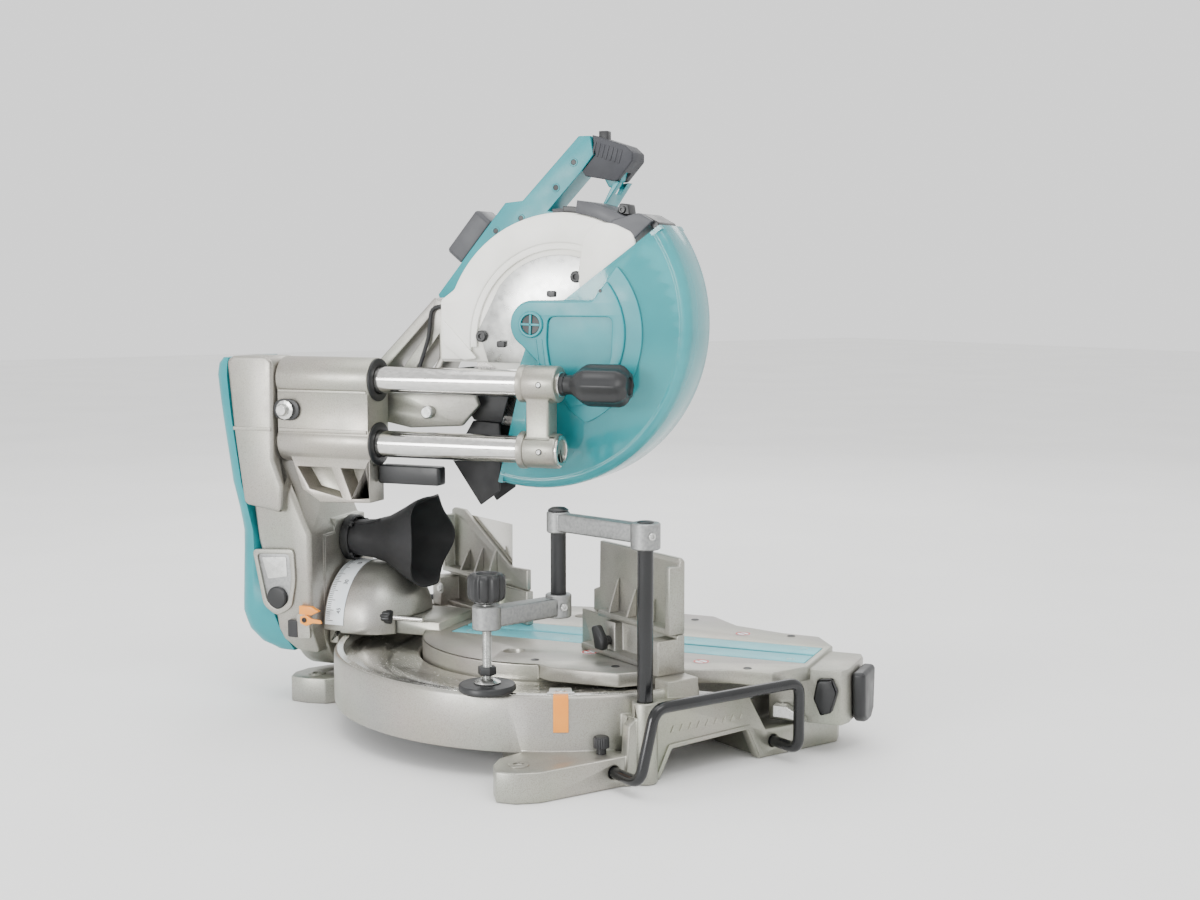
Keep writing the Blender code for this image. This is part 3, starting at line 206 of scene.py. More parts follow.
def grain(tree, shader, where, size_mm, depth_mm, strength=0.5, kind="ShaderNodeTexNoise"):
    """A fine surface texture as bump, over edges eased by the Bevel node."""
    height = add(tree, kind, {"Scale": per(size_mm)}, {"Vector": where})
    eased = add(tree, "ShaderNodeBevel", {"samples": 4, "Radius": 0.6 * MM})
    out = height.outputs["Fac"] if kind == "ShaderNodeTexNoise" else height.outputs["Distance"]
    bump = add(tree, "ShaderNodeBump", {"Strength": strength, "Distance": depth_mm * MM},
               {"Height": out, "Normal": eased.outputs["Normal"]})
    tree.links.new(bump.outputs["Normal"], shader.inputs["Normal"])
    return bump


print("material tools ready")

# %% [markdown]
# ## Die-cast aluminium, sprayed with a warm silver lacquer
# The base, turntable, arm and carriage are die castings under a metallic spray. The flakes give a
# sparkle finer than a millimetre, drawn here a little coarser so that it shows, and the skin of the
# casting keeps a faint orange peel. It is part metal, so it takes soft highlights along each edge.

# %% Sprayed die-cast aluminium
SPRAYED, tree, shader, where = start("sprayed_die_cast_aluminium", Metallic=0.78, Roughness=0.38)
flake = add(tree, "ShaderNodeTexVoronoi", {"Scale": per(0.9)}, {"Vector": where})
shade = add(tree, "ShaderNodeValToRGB", {}, {"Fac": flake.outputs["Distance"]})
shade.color_ramp.elements[0].color = linear("#BEBCB3")
shade.color_ramp.elements[1].color = linear("#96948C")
patch = add(tree, "ShaderNodeTexNoise", {"Scale": per(90), "Detail": 3.0}, {"Vector": where})
tone = add(tree, "ShaderNodeMix", {"data_type": "RGBA", "blend_type": "MULTIPLY", 0: 0.18},
           {6: shade.outputs["Color"], 7: patch.outputs["Color"]})
tree.links.new(tone.outputs[2], shader.inputs["Base Color"])
uneven_gloss(tree, shader, where, 0.34, 0.46, 30)
grain(tree, shader, where, 1.1, 0.05, 0.35)

# %% [markdown]
# ## Moulded ABS shells
# Teal and off-white shells are injection-moulded ABS with a fine spark-eroded texture. The colour
# is in the plastic, so it hardly varies; the gloss does, where the mould was worn.

# %% Moulded ABS in teal, off-white, black and grey
def moulded(name, dark, light, low, high, texture_mm=0.7, depth_mm=0.04, ior=1.53):
    made, tree, shader, where = start(name, IOR=ior)
    mottled(tree, shader, where, dark, light, 60)
    uneven_gloss(tree, shader, where, low, high, 25)
    grain(tree, shader, where, texture_mm, depth_mm, 0.4)
    return made


TEAL_ABS = moulded("teal_abs", "#10818A", "#178C94", 0.3, 0.42)
WHITE_ABS = moulded("off_white_abs", "#E9E8E0", "#F3F2EC", 0.3, 0.42)
BLACK_NYLON = moulded("black_glass_filled_nylon", "#141516", "#1D1E20", 0.34, 0.5, 0.9, 0.06)
GREY_NYLON = moulded("grey_nylon", "#3C3D41", "#48494D", 0.42, 0.56, 0.8, 0.06)
ORANGE_ABS = moulded("orange_acetal", "#EE8F22", "#F79E31", 0.34, 0.45, 0.8, 0.03)
KERF_BOARD = moulded("kerf_board_abs", "#4FA9B4", "#5DB6C0", 0.32, 0.44, 0.9, 0.05)
RUBBER = moulded("moulded_rubber", "#161617", "#222224", 0.55, 0.75, 1.2, 0.1, 1.5)
OVERMOULD = moulded("soft_overmould", "#2E2F33", "#3A3B40", 0.6, 0.75, 1.6, 0.16, 1.5)

# %% [markdown]
# ## Tinted polycarbonate
# The lower guard is clear teal polycarbonate. It lets the blade show faintly and throws back broad
# highlights. Its index is 1.58, and scuffs from chips make the gloss uneven.

# %% Tinted polycarbonate
TINTED, tree, shader, where = start("tinted_polycarbonate", IOR=1.58, Alpha=0.86)
shader.inputs["Transmission Weight"].default_value = 0.35
mottled(tree, shader, where, "#2E9FA8", "#3CAFB6", 120)
uneven_gloss(tree, shader, where, 0.07, 0.16, 40)
scuff = add(tree, "ShaderNodeTexNoise", {"Scale": per(6), "Detail": 6.0}, {"Vector": where})
bump = add(tree, "ShaderNodeBump", {"Strength": 0.06, "Distance": 0.2 * MM}, {"Height": scuff.outputs["Fac"]})
tree.links.new(bump.outputs["Normal"], shader.inputs["Normal"])

# %% [markdown]
# ## Bare and plated metals
# The rails are ground and hard-chromed tube, the vise screw and plates are zinc-plated steel, and
# the blade is ground steel whose scratches run round its centre. A metal keeps the default index.

# %% Chromed, zinc-plated, blackened and ground steel
def metal(name, dark, light, low, high, streak, size_mm):
    """A bare metal whose colour and gloss run in streaks: streak scales the pattern along x, y and z."""
    made, tree, shader, where = start(name, Metallic=1.0)
    stretched = add(tree, "ShaderNodeMapping", {"Scale": streak}, {"Vector": where})
    mottled(tree, shader, stretched.outputs["Vector"], dark, light, size_mm, 0.3, 0.7)
    uneven_gloss(tree, shader, stretched.outputs["Vector"], low, high, size_mm)
    grain(tree, shader, stretched.outputs["Vector"], size_mm, 0.01, 0.15)
    return made


CHROMED = metal("hard_chromed_tube", "#C9C8C5", "#DAD9D6", 0.1, 0.2, (1, 1, 3), 8)
ZINC = metal("zinc_plated_steel", "#BFC0BE", "#D6D7D4", 0.24, 0.36, (1, 1, 1), 9)
MACHINED = metal("machined_aluminium", "#D5D3CD", "#E6E4DE", 0.16, 0.28, (1, 1, 8), 5)
VISE_CAST = metal("tumbled_casting", "#8D8E8E", "#A5A6A5", 0.36, 0.5, (1, 1, 1), 3)
COPPER = metal("copper_winding", "#B06A42", "#C77F53", 0.3, 0.4, (1, 1, 6), 4)

GLOSS_BLACK, tree, shader, where = start("black_enamelled_steel", Metallic=0.0, IOR=1.5)
mottled(tree, shader, where, "#0E0F10", "#17181A", 40)
uneven_gloss(tree, shader, where, 0.16, 0.28, 20)
grain(tree, shader, where, 2.0, 0.05, 0.3)

ARBOR_AT = HEAD @ Vector((0, -17, 428)) * MM
GROUND, tree, shader, where = start("ground_blade_steel", Metallic=1.0)
shader.inputs["Anisotropic"].default_value = 0.6
local = add(tree, "ShaderNodeMapping", {"Location": tuple(-ARBOR_AT)}, {"Vector": where})
rings = add(tree, "ShaderNodeVectorMath", {"operation": "LENGTH"}, {0: local.outputs["Vector"]})
fine = add(tree, "ShaderNodeTexNoise", {"noise_dimensions": "1D", "Scale": per(0.8), "Detail": 3.0},
           {"W": rings.outputs["Value"]})
ramp = add(tree, "ShaderNodeValToRGB", {}, {"Fac": fine.outputs["Fac"]})
ramp.color_ramp.elements[0].color = linear("#A9A6A2")
ramp.color_ramp.elements[1].color = linear("#CFCDC9")
tree.links.new(ramp.outputs["Color"], shader.inputs["Base Color"])
spread = add(tree, "ShaderNodeMapRange", {"To Min": 0.2, "To Max": 0.36}, {"Value": fine.outputs["Fac"]})
tree.links.new(spread.outputs["Result"], shader.inputs["Roughness"])
print("materials", len(bpy.data.materials))

# %% [markdown]
# ## Tools for shapes
# Sizes are in millimetres, in the base frame or the head frame. `form` turns a bmesh into a piece
# with its finish and body. `solid` is an outline given thickness and rounded edges, `spun` spins a
# profile, `swept` sweeps a round section along a smooth route, and `merged` joins bmeshes.

# %% Helpers for shapes
def form(name, bm, finish, body, slot, turn=BASE, stands_for=(), crease=40):
    """A finished piece from a bmesh drawn in millimetres in the frame that turn gives."""
    bmesh.ops.transform(bm, matrix=turn @ Matrix.Scale(MM, 4), verts=bm.verts[:])
    bmesh.ops.recalc_face_normals(bm, faces=bm.faces[:])
    mesh = bpy.data.meshes.new(name)
    bm.to_mesh(mesh)
    bm.free()
    mesh.materials.append(finish)
    mesh.shade_smooth()
    mesh.set_sharp_from_angle(angle=math.radians(crease))
    made = bpy.data.objects.new(name, mesh)
    bpy.context.scene.collection.objects.link(made)
    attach(made, body)
    if stands_for:
        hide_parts(*stands_for)
    return made


def arc(centre, radius, first, last, steps=16):
    """Points on an arc between two angles in degrees."""
    turns = [math.radians(first + (last - first) * i / steps) for i in range(steps + 1)]
    return [(centre[0] + radius * math.cos(a), centre[1] + radius * math.sin(a)) for a in turns]


def softened(outline, radius, steps=4):
    """The outline with each corner turned into a curve of about this radius."""
    made = []
    count = len(outline)
    for i, corner in enumerate(outline):
        before, here, after = (Vector(outline[(i + k) % count]) for k in (-1, 0, 1))
        reach = min(radius, (before - here).length * 0.45, (after - here).length * 0.45)
        one = here + (before - here).normalized() * reach
        two = here + (after - here).normalized() * reach
        for k in range(steps + 1):
            t = k / steps
            made.append(tuple(one * (1 - t) ** 2 + here * 2 * t * (1 - t) + two * t * t))
    return made


def solid(outline, low, high, view=SIDE, edge=0.0, segments=3, holes=()):
    """A bmesh of an outline with thickness, with its long edges rounded by edge millimetres."""
    curve = bpy.data.curves.new("outline", "CURVE")
    curve.dimensions = "2D"
    curve.fill_mode = "BOTH"
    curve.extrude = (high - low) / 2 - edge
    curve.bevel_depth = edge
    curve.bevel_resolution = segments
    curve.offset = -edge
    for points in (outline, *holes):
        spline = curve.splines.new("POLY")
        spline.points.add(len(points) - 1)
        for point, (a, b) in zip(spline.points, points):
            point.co = (a, b, 0, 1)
        spline.use_cyclic_u = True
    drawn = bpy.data.objects.new("outline", curve)
    bpy.context.scene.collection.objects.link(drawn)
    graph = bpy.context.evaluated_depsgraph_get()
    mesh = bpy.data.meshes.new_from_object(drawn.evaluated_get(graph))
    bm = bmesh.new()
    bm.from_mesh(mesh)
    bmesh.ops.remove_doubles(bm, verts=bm.verts[:], dist=0.01)
    place = view @ Matrix.Translation((0, 0, (low + high) / 2))
    bmesh.ops.transform(bm, matrix=place, verts=bm.verts[:])
    bpy.data.objects.remove(drawn)
    bpy.data.curves.remove(curve)
    bpy.data.meshes.remove(mesh)
    return bm


def spun(profile, place, axis, steps=48, start_turn=0.0, sweep=360.0, close=False):
    """A bmesh turned about an axis: profile is (radius, height along the axis)."""
    bm = bmesh.new()
    way = Vector(axis).normalized()
    across = way.orthogonal().normalized()
    rows = []
    count = steps if sweep >= 360 else steps + 1
    for i in range(count):
        turn = Matrix.Rotation(math.radians(start_turn + sweep * i / steps), 3, way)
        rows.append([bm.verts.new(Vector(place) + turn @ (across * r) + way * h) for r, h in profile])
    pairs = list(zip(rows, rows[1:] + ([rows[0]] if sweep >= 360 else [])))
    for one, two in pairs:
        spans = list(zip(range(len(profile)), range(1, len(profile))))
        if close:
            spans.append((len(profile) - 1, 0))
        for a, b in spans:
            bm.faces.new((one[a], one[b], two[b], two[a]))
    if sweep < 360 and close:
        bm.faces.new(rows[0])
        bm.faces.new(list(reversed(rows[-1])))
    bmesh.ops.remove_doubles(bm, verts=bm.verts[:], dist=0.005)
    return bm


def swept(points, radius, sides=20, bend=0.0, steps=6):
    """A bmesh of a round bar along a route whose corners are turned smoothly."""
    places = [Vector(p) for p in points]
    route = [places[0]]
    for before, corner, after in zip(places, places[1:], places[2:]):
        if not bend:
            route.append(corner)
            continue
        one = corner + (before - corner).normalized() * bend
        two = corner + (after - corner).normalized() * bend
        for k in range(steps + 1):
            t = k / steps
            route.append(one * (1 - t) ** 2 + corner * 2 * t * (1 - t) + two * t * t)
    route.append(places[-1])
    bm = bmesh.new()
    up = (route[1] - route[0]).orthogonal().normalized()
    rows = []
    for i, here in enumerate(route):
        way = (route[min(i + 1, len(route) - 1)] - route[max(i - 1, 0)]).normalized()
        up = (up - way * up.dot(way)).normalized()
        side = way.cross(up)
        turns = [2 * math.pi * k / sides for k in range(sides)]
        rows.append([bm.verts.new(here + (up * math.cos(a) + side * math.sin(a)) * radius) for a in turns])
    for one, two in zip(rows, rows[1:]):
        for k in range(sides):
            j = (k + 1) % sides
            bm.faces.new((one[k], one[j], two[j], two[k]))
    bm.faces.new(rows[0])
    bm.faces.new(rows[-1])
    return bm


def merged(*parts):
    """Several bmeshes as one."""
    whole = parts[0]
    for part in parts[1:]:
        mesh = bpy.data.meshes.new("part")
        part.to_mesh(mesh)
        part.free()
        whole.from_mesh(mesh)
        bpy.data.meshes.remove(mesh)
    return whole


print("shape tools ready")

# %% [markdown]
# ## Castings and mouldings that keep their frame shape
# Many pieces already have their true outline. A real casting has no knife edges, so each of these
# is drawn again from its node with its flat faces merged and every sharp edge rounded. The edge
# radius is halved until the rounding neither swells the piece nor eats its thin walls.

# %% Draw a frame piece again with rounded edges
def eased(node, finish, slot, edge=1.0, segments=2, crease=38):
    """A copy of a node with rounded edges that stands for it."""
    source = frame["nodes"][node]
    body = source["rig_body"]
    width = edge
    plain = bmesh.new()
    plain.from_mesh(source.data)
    bmesh.ops.transform(plain, matrix=Matrix.Scale(1 / MM, 4), verts=plain.verts[:])
    bmesh.ops.remove_doubles(plain, verts=plain.verts[:], dist=0.005)
    bmesh.ops.dissolve_limit(plain, angle_limit=math.radians(1.5), verts=plain.verts[:], edges=plain.edges[:])
    volume = abs(plain.calc_volume())
    low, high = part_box(node)
    while width > 0.1:
        bm = plain.copy()
        sharp = [e for e in bm.edges if len(e.link_faces) == 2 and e.calc_face_angle(0) > math.radians(30)]
        bmesh.ops.bevel(bm, geom=sharp, offset=width, segments=segments, affect="EDGES", profile=0.5,
                        clamp_overlap=False)
        places = [v.co for v in bm.verts]
        swell = max(max(low[i] / MM - p[i], p[i] - high[i] / MM) for p in places for i in range(3))
        change = abs(abs(bm.calc_volume()) - volume) / volume
        if swell < 0.25 and change < 0.04 + 0.02 * width:
            break
        bm.free()
        bm = None
        width /= 2
    if width <= 0.1:
        bm = plain.copy()
        width = 0
    plain.free()
    print(f"  {node}: edges {width:g} mm, {len(bm.faces)} faces")
    return form(f"{node}_finished", bm, finish, body, slot, BASE, (node,), crease)


def keep(finish, *nodes):
    """Nodes that stay as they are, with a finish of their own."""
    for node in nodes:
        data = frame["nodes"][node].data
        data.materials.clear()
        data.materials.append(finish)

# %% Castings
print("castings")
for node, edge in (("base_casting", 1.5), ("turntable", 1.5), ("bevel_housing", 2.0), ("left_fence", 1.2),
                   ("right_fence", 1.2), ("left_high_fence", 1.5), ("right_high_fence", 1.5),
                   ("arm_casting", 4.0), ("rail_link", 2.0), ("carriage", 2.0), ("head_arm", 2.0),
                   ("drive_housing", 2.0)):
    eased(node, SPRAYED, "casting", edge)

# %% Mouldings
print("mouldings")
for node, edge in (("handle", 7.0), ("motor_housing", 3.0), ("trigger", 1.0)):
    eased(node, TEAL_ABS, "teal", edge)
eased("blade_case", WHITE_ABS, "white", 4.0)
eased("case_plate", ZINC, "zinc", 0.4)
eased("guard_bracket", GREY_NYLON, "grey", 1.0)
eased("battery", GREY_NYLON, "grey", 2.5)
eased("grip", OVERMOULD, "grey", 5.0)
for node, edge in (("vise_short_rod", 0.6), ("dust_guide", 1.0),
                   ("lock_off_button", 0.8), ("mitre_lock_grip", 3.0), ("mitre_cam_lever", 2.0),
                   ("left_fence_clamp", 2.0),
                   ("right_fence_clamp", 2.0), ("guide_light", 1.0)):
    eased(node, BLACK_NYLON, "black", edge)
eased("dust_flap", RUBBER, "rubber", 0.8)
eased("left_kerf_board", KERF_BOARD, "board", 0.6)
eased("right_kerf_board", KERF_BOARD, "board", 0.6)
eased("bevel_pointer", ORANGE_ABS, "orange", 0.6)
keep(BLACK_NYLON, "head_cable")
keep(RUBBER, "drive_belt")
keep(ZINC, "slide_lock_screw", "mitre_stop_lever", "return_spring", "stop_pin", "pivot_bolt", "chop_shaft",
     "arbor_bolt", "spindle")
keep(GROUND, "blade")
keep(COPPER, "motor_rotor")

# %% [markdown]
# ## Small hardware
# Socket screws, hex bolts and washers turn up all over the saw. Each is turned or cut from its own
# outline: a cap with an eased rim and a real hex socket, so that it reads as hardware close up.

# %% Screws and bolts
def toward(axis):
    """The turn that lays a piece drawn along +z along an axis."""
    return Vector((0, 0, 1)).rotation_difference(Vector(axis)).to_matrix().to_4x4()


def socket_screw(name, place, axis, radius, height, finish, body, slot, turn=HEAD):
    """A round-headed screw with a hex socket, its head standing height proud of place."""
    depth = height * 0.6
    cap = [(radius, 0), (radius, height - radius * 0.2), (radius * 0.82, height), (radius * 0.46, height),
           (radius * 0.44, height - depth), (0, height - depth)]
    bm = bmesh.new()
    rows = []
    for i, (r, h) in enumerate(cap):
        sides = 36
        points = []
        for k in range(sides):
            a = 2 * math.pi * k / sides
            flat = math.cos(math.pi / 6) / math.cos((a % (math.pi / 3)) - math.pi / 6)
            reach = r * (flat if 3 <= i <= 4 else 1)
            points.append(bm.verts.new((reach * math.cos(a), reach * math.sin(a), h)))
        rows.append(points)
    for one, two in zip(rows, rows[1:]):
        for k in range(len(one)):
            j = (k + 1) % len(one)
            bm.faces.new((one[k], one[j], two[j], two[k]))
    bmesh.ops.remove_doubles(bm, verts=bm.verts[:], dist=0.005)
    bm.faces.new(rows[0])
    bmesh.ops.transform(bm, matrix=Matrix.Translation(place) @ toward(axis), verts=bm.verts[:])
    return form(name, bm, finish, body, slot, turn)


def hex_bolt(name, place, axis, across, height, finish, body, slot, turn=HEAD, washer=0.0):
    """A hex head with a chamfered crown on an optional washer."""
    sides = 6
    crown = height * 0.25
    head = [(across / 2, 0), (across / 2, height - crown), (across * 0.42, height), (0, height)]
    bm = spun(head, (0, 0, washer and 1.6), (0, 0, 1), sides)
    if washer:
        bm = merged(bm, spun([(0, 0), (washer, 0), (washer, 1.2), (washer - 0.5, 1.6), (0, 1.6)],
                             (0, 0, 0), (0, 0, 1), 32))
    bmesh.ops.transform(bm, matrix=Matrix.Translation(place) @ toward(axis), verts=bm.verts[:])
    return form(name, bm, finish, body, slot, turn)


def disc(radius, low, high, place, axis, edge=0.5, steps=40):
    """A turned disc standing between two heights above place."""
    return spun([(0, low), (radius, low), (radius, high - edge), (radius - edge, high), (0, high)],
                place, axis, steps)


def sector(profile, centre, first, last, steps):
    """A closed profile of (radius, x) swept about the x axis through centre, with its ends capped."""
    bm = bmesh.new()
    rows = []
    for i in range(steps + 1):
        a = math.radians(first + (last - first) * i / steps)
        rows.append([bm.verts.new((x, centre[0] + r * math.cos(a), centre[1] + r * math.sin(a)))
                     for r, x in profile])
    count = len(profile)
    for one, two in zip(rows, rows[1:]):
        for k in range(count):
            j = (k + 1) % count
            bm.faces.new((one[k], one[j], two[j], two[k]))
    bm.faces.new(rows[0])
    bm.faces.new(rows[-1])
    return bm


LEFT = (-1, 0, 0)
print("hardware tools ready")

# %% [markdown]
# ## Blade case
# The upper case is a casting-like ABS-white cover. Its outside face is a broad band that follows
# the blade; inside the band the face steps back to a pale plate held by black socket screws.

# %% Raised band, plate and screws of the blade case
ARBOR = (-17, 428)
CASE_FACE = -33
band = arc(ARBOR, 140, 117, 24, 28) + [(128, 473), (128, 406), (103, 406)] + arc(ARBOR, 108, -6, 113, 26)
form("case_band", solid(softened(band, 3), -38, CASE_FACE - 0.1, SIDE, 2.0), WHITE_ABS, "head", "white", HEAD)
slope = arc(ARBOR, 112, 113, -4, 26) + arc(ARBOR, 101, -4, 113, 26)
form("case_step", solid(slope, -36.4, CASE_FACE - 0.1, SIDE, 0.8), WHITE_ABS, "head", "white", HEAD)
tongue = [(125, 452), (97, 424), (82, 408), (100, 406), (125, 424)]
form("case_tongue", solid(softened(tongue, 4), -39.5, -37.9, SIDE, 0.6), WHITE_ABS, "head", "white", HEAD)
for tag, spot in (("upper", (-37, 499)), ("rear", (78, 433))):
    socket_screw(f"case_screw_{tag}", (-35.4, *spot), LEFT, 6.5, 3.2, BLACK_NYLON, "head", "black")
for tag, spot in (("top", (-8, 480)), ("low", (53, 424))):
    clip = softened([(spot[0] - 5, spot[1] - 3), (spot[0] + 5, spot[1] - 3), (spot[0] + 5, spot[1] + 4),
                     (spot[0] - 5, spot[1] + 4)], 2)
    form(f"case_clip_{tag}", solid(clip, -39, -35.2, SIDE, 0.8), BLACK_NYLON, "head", "black", HEAD)
print("blade case dressed")

# %% [markdown]
# ## Lower guard
# The real guard is one moulding: two thin walls and a rolled rim. We sweep its wall section about
# the guard's own pivot, so that the rim is truly round and the wall has an inside.

# %% Lower guard
GUARD_AT = (12, 447)
GUARD_FIRST, GUARD_LAST = 144, 284
rolled = [(62, -41), (168, -41), (169, -40.2), (171, -40.2), (172, -41), (174, -40.6), (178.5, -38.4),
          (181, -35), (182, -30), (182, 25), (180.6, 29), (178, 31), (152, 31), (152, 28.6), (177, 28.6),
          (179.5, 25), (179.5, -30), (178, -34.5), (175.5, -37), (172, -38.5), (62, -38.5)]
guard = form("lower_guard_shell", sector(rolled, GUARD_AT, GUARD_FIRST, GUARD_LAST, 72), TINTED, "guard",
             "clear", HEAD, ("lower_guard",), 50)
lip = [(64, -40.9), (181.5, -40.9), (181.5, 30.9), (176, 30.9), (176, -36.5), (64, -36.5)]
form("guard_front_lip", sector(lip, GUARD_AT, GUARD_FIRST, GUARD_FIRST + 1.6, 3), TINTED, "guard", "clear",
     HEAD)
form("guard_lower_lip", sector(lip, GUARD_AT, GUARD_LAST - 1.6, GUARD_LAST, 3), TINTED, "guard", "clear",
     HEAD)
hub = [(10, -41.0), (62.5, -41.0), (62.5, -38.6), (10, -38.6)]
form("guard_hub", sector(hub, GUARD_AT, GUARD_FIRST, 290, 40), TINTED, "guard", "clear", HEAD)
print("guard swept", len(guard.data.polygons), "faces")

# %% [markdown]
# ## Centre cover
# A teal moulding over the arbor. It is stepped: a thin outer ring, a raised body with a sunk
# pocket, and a round boss whose four spokes stand over a dark hole.

# %% Centre cover in three steps
COVER_BACK, COVER_STEP, COVER_FACE = -41.6, -43.8, -46.9
OUTER = (-12, 438)
skirt = (arc(OUTER, 105, 136, 248, 28) + [(-34, 352), (4, 404)] + arc(GUARD_AT, 26.5, 300, 450, 14) +
         [(-61, 474)])
cover = solid(softened(skirt, 3, 3), COVER_STEP, COVER_BACK, SIDE, 0.8)
raised = (arc(OUTER, 86, 139, 245, 24) + [(-34, 358), (2, 404)] + arc(GUARD_AT, 25, 302, 448, 14) +
          [(-60, 472.5)])
pocket = softened([(-84, 456), (-8, 456), (-6, 428), (-10, 400), (-46, 372), (-70, 384), (-82, 410)], 8)
cover = merged(cover, solid(softened(raised, 3, 3), COVER_FACE, COVER_STEP - 0.05, SIDE, 1.1, 3, [pocket]))
form("centre_cover_moulding", cover, TEAL_ABS, "head", "teal", HEAD, ("centre_cover",))
boss = spun([(0, 0), (14.5, 0), (14.5, 2.4), (13.4, 3.4), (11.4, 3.4), (11.0, 1.0), (0, 1.0)],
            (COVER_FACE + 0.5, *GUARD_AT), LEFT, 48)
form("cover_boss", boss, TEAL_ABS, "head", "teal", HEAD, ("guard_pin",))
form("cover_vent_shadow", disc(10.8, 0, 0.5, (COVER_FACE - 0.6, *GUARD_AT), LEFT), BLACK_NYLON, "head",
     "black", HEAD)
spokes = None
for turned_by in (0, 90):
    a = math.radians(turned_by + 2)
    way = Vector((math.cos(a), math.sin(a)))
    across = Vector((-way.y, way.x)) * 1.3
    here = Vector(GUARD_AT)
    bar = [here - way * 11 - across, here + way * 11 - across, here + way * 11 + across,
           here - way * 11 + across]
    rib = solid([tuple(p) for p in bar], -50, COVER_FACE - 1, SIDE, 0.4)
    spokes = rib if spokes is None else merged(spokes, rib)
form("cover_spokes", spokes, TEAL_ABS, "head", "teal", HEAD)
# The peg hole is a thin black disc on the face: painted shade for the hole's dark depth.
form("cover_peg_hole_painted_shade", disc(1.9, 0, 0.4, (COVER_FACE - 0.1, -70, 484), LEFT, 0.1, 20), BLACK_NYLON, "head",
     "black", HEAD)
fine_ribs = None
for y in (7, 0):
    rib = solid([(y, 431), (y - 1.2, 431), (y - 7, 388), (y - 5.6, 388)], -47.6, COVER_FACE, SIDE, 0.2)
    fine_ribs = rib if fine_ribs is None else merged(fine_ribs, rib)
form("cover_ribs", fine_ribs, TEAL_ABS, "head", "teal", HEAD)

# %% [markdown]
# ## Guard bracket
# Where the guard meets the case at the top sits a dark-grey box, with a black strip behind it over
# the case's rim and a small screw block.

# %% Guard bracket, strip and screw block
box_outline = [(-69, 546), (-80, 560), (-110, 567), (-126, 558), (-99, 533)]
form("bracket_box", solid(softened(box_outline, 3), -37.8, 30, SIDE, 1.6), GREY_NYLON, "head", "grey", HEAD)
over = arc(ARBOR, 148, 122, 90, 14) + arc(ARBOR, 141.2, 90, 122, 14)
form("rim_strip", solid(over, -26, 24, SIDE, 1.0), BLACK_NYLON, "head", "black", HEAD)
block_outline = [(-80, 566), (-84, 578), (-94, 577), (-96, 565)]
form("bracket_block", solid(softened(block_outline, 2), -26, -6, SIDE, 1.2), BLACK_NYLON, "head", "black",
     HEAD)
socket_screw("bracket_screw", (-26, -87, 571), LEFT, 4.2, 2.2, BLACK_NYLON, "head", "black")
cap_line = [(-112, 566), (-130, 557), (-134, 546), (-128, 545), (-122, 553)]
form("bracket_tail", solid(softened(cap_line, 2), -30, 24, SIDE, 1.0), BLACK_NYLON, "head", "black", HEAD)
print("bracket built")

# %% [markdown]
# ## Rails' front link and bevel knob
# The link is a dog-bone casting with two round eyes. Each rail is locked in it by a set screw, and
# the lower rail's open end shows as a bright ring. The black knob is eight-sided and tapered.

# %% Link hardware
RAIL_X, RAIL_UP, RAIL_LOW = -75, 384, 312
LINK_FRONT, LINK_BACK = -35, 4
FORWARD = (0, -1, 0)
for tag, z in (("upper", RAIL_UP), ("lower", RAIL_LOW)):
    eye = spun([(20.4, 2), (20.4, 8), (19.6, 9.2), (16.2, 9.2), (16.2, 2)], (RAIL_X, LINK_BACK + 8, z),
               FORWARD, 48, close=True)
    form(f"link_eye_{tag}", eye, SPRAYED, "arm", "casting", HEAD)
    # A black disc round each set screw is painted shade in the screw's bore.
    well = disc(3.4, 0, 0.5, (RAIL_X - 19.6, -18, z), LEFT, 0.2, 24)
    form(f"set_screw_well_painted_shade_{tag}", well, BLACK_NYLON, "arm", "black", HEAD)
    socket_screw(f"set_screw_{tag}", (RAIL_X - 19.9, -18, z), LEFT, 2.6, 0.9, ZINC, "arm", "zinc")
mouth = spun([(12.5, 0), (17.2, 0), (17.2, 1.2), (16.2, 2.2), (13.4, 2.2), (12.5, 1.4)],
             (RAIL_X, LINK_FRONT + 0.1, RAIL_LOW), FORWARD, 48, close=True)
form("lower_rail_mouth", mouth, MACHINED, "arm", "steel", HEAD)
washer = spun([(6, 0), (13.5, 0), (13.5, 1.4), (12.6, 2.2), (6, 2.2)], (RAIL_X, LINK_FRONT, RAIL_UP),
              FORWARD, 48, close=True)
form("bevel_knob_washer", washer, CHROMED, "bevel_knob", "steel", HEAD)

# %% Eight-sided bevel knob
KNOB = ((37.4, 10.5), (49, 10.5), (52, 12), (60, 18.6), (66, 21.6), (70, 22.3), (104, 22.3), (109, 20.6),
        (113.5, 16.5), (115, 13), (115, 10), (112.5, 9.4), (112.5, 0))
bm = bmesh.new()
rows = []
for y, radius in KNOB:
    row = []
    for k in range(96):
        a = 2 * math.pi * k / 96
        flat = math.cos(math.pi / 8) / math.cos((a % (math.pi / 4)) - math.pi / 8)
        share = min(1.0, max(0.0, (y - 50) / 12)) * (0.92 if radius > 12 else 0)
        dish = 0.5 * share * math.cos(8 * a)
        reach = radius * (1 + share * (flat - 1)) + dish
        row.append(bm.verts.new((RAIL_X + reach * math.cos(a), -y, RAIL_UP + reach * math.sin(a))))
    rows.append(row)
for one, two in zip(rows, rows[1:]):
    for k in range(96):
        j = (k + 1) % 96
        bm.faces.new((one[k], one[j], two[j], two[k]))
bm.faces.new(rows[0])
bmesh.ops.remove_doubles(bm, verts=bm.verts[:], dist=0.005)
form("bevel_knob_grip", bm, BLACK_NYLON, "bevel_knob", "black", HEAD, ("bevel_lock_knob",), 50)
form("bevel_knob_collar", spun([(8, 37.2), (12.2, 37.2), (12.2, 41.5), (10.6, 42.4), (10.6, 46), (8, 46)],
                               (RAIL_X, 0, RAIL_UP), FORWARD, 8, close=True), BLACK_NYLON, "bevel_knob",
     "black",
     HEAD)

# %% [markdown]
# ## Rails
# Each rail is 30 mm chromed tube. Its ends are chamfered, and it needs many sides, because a long
# highlight shows every facet.

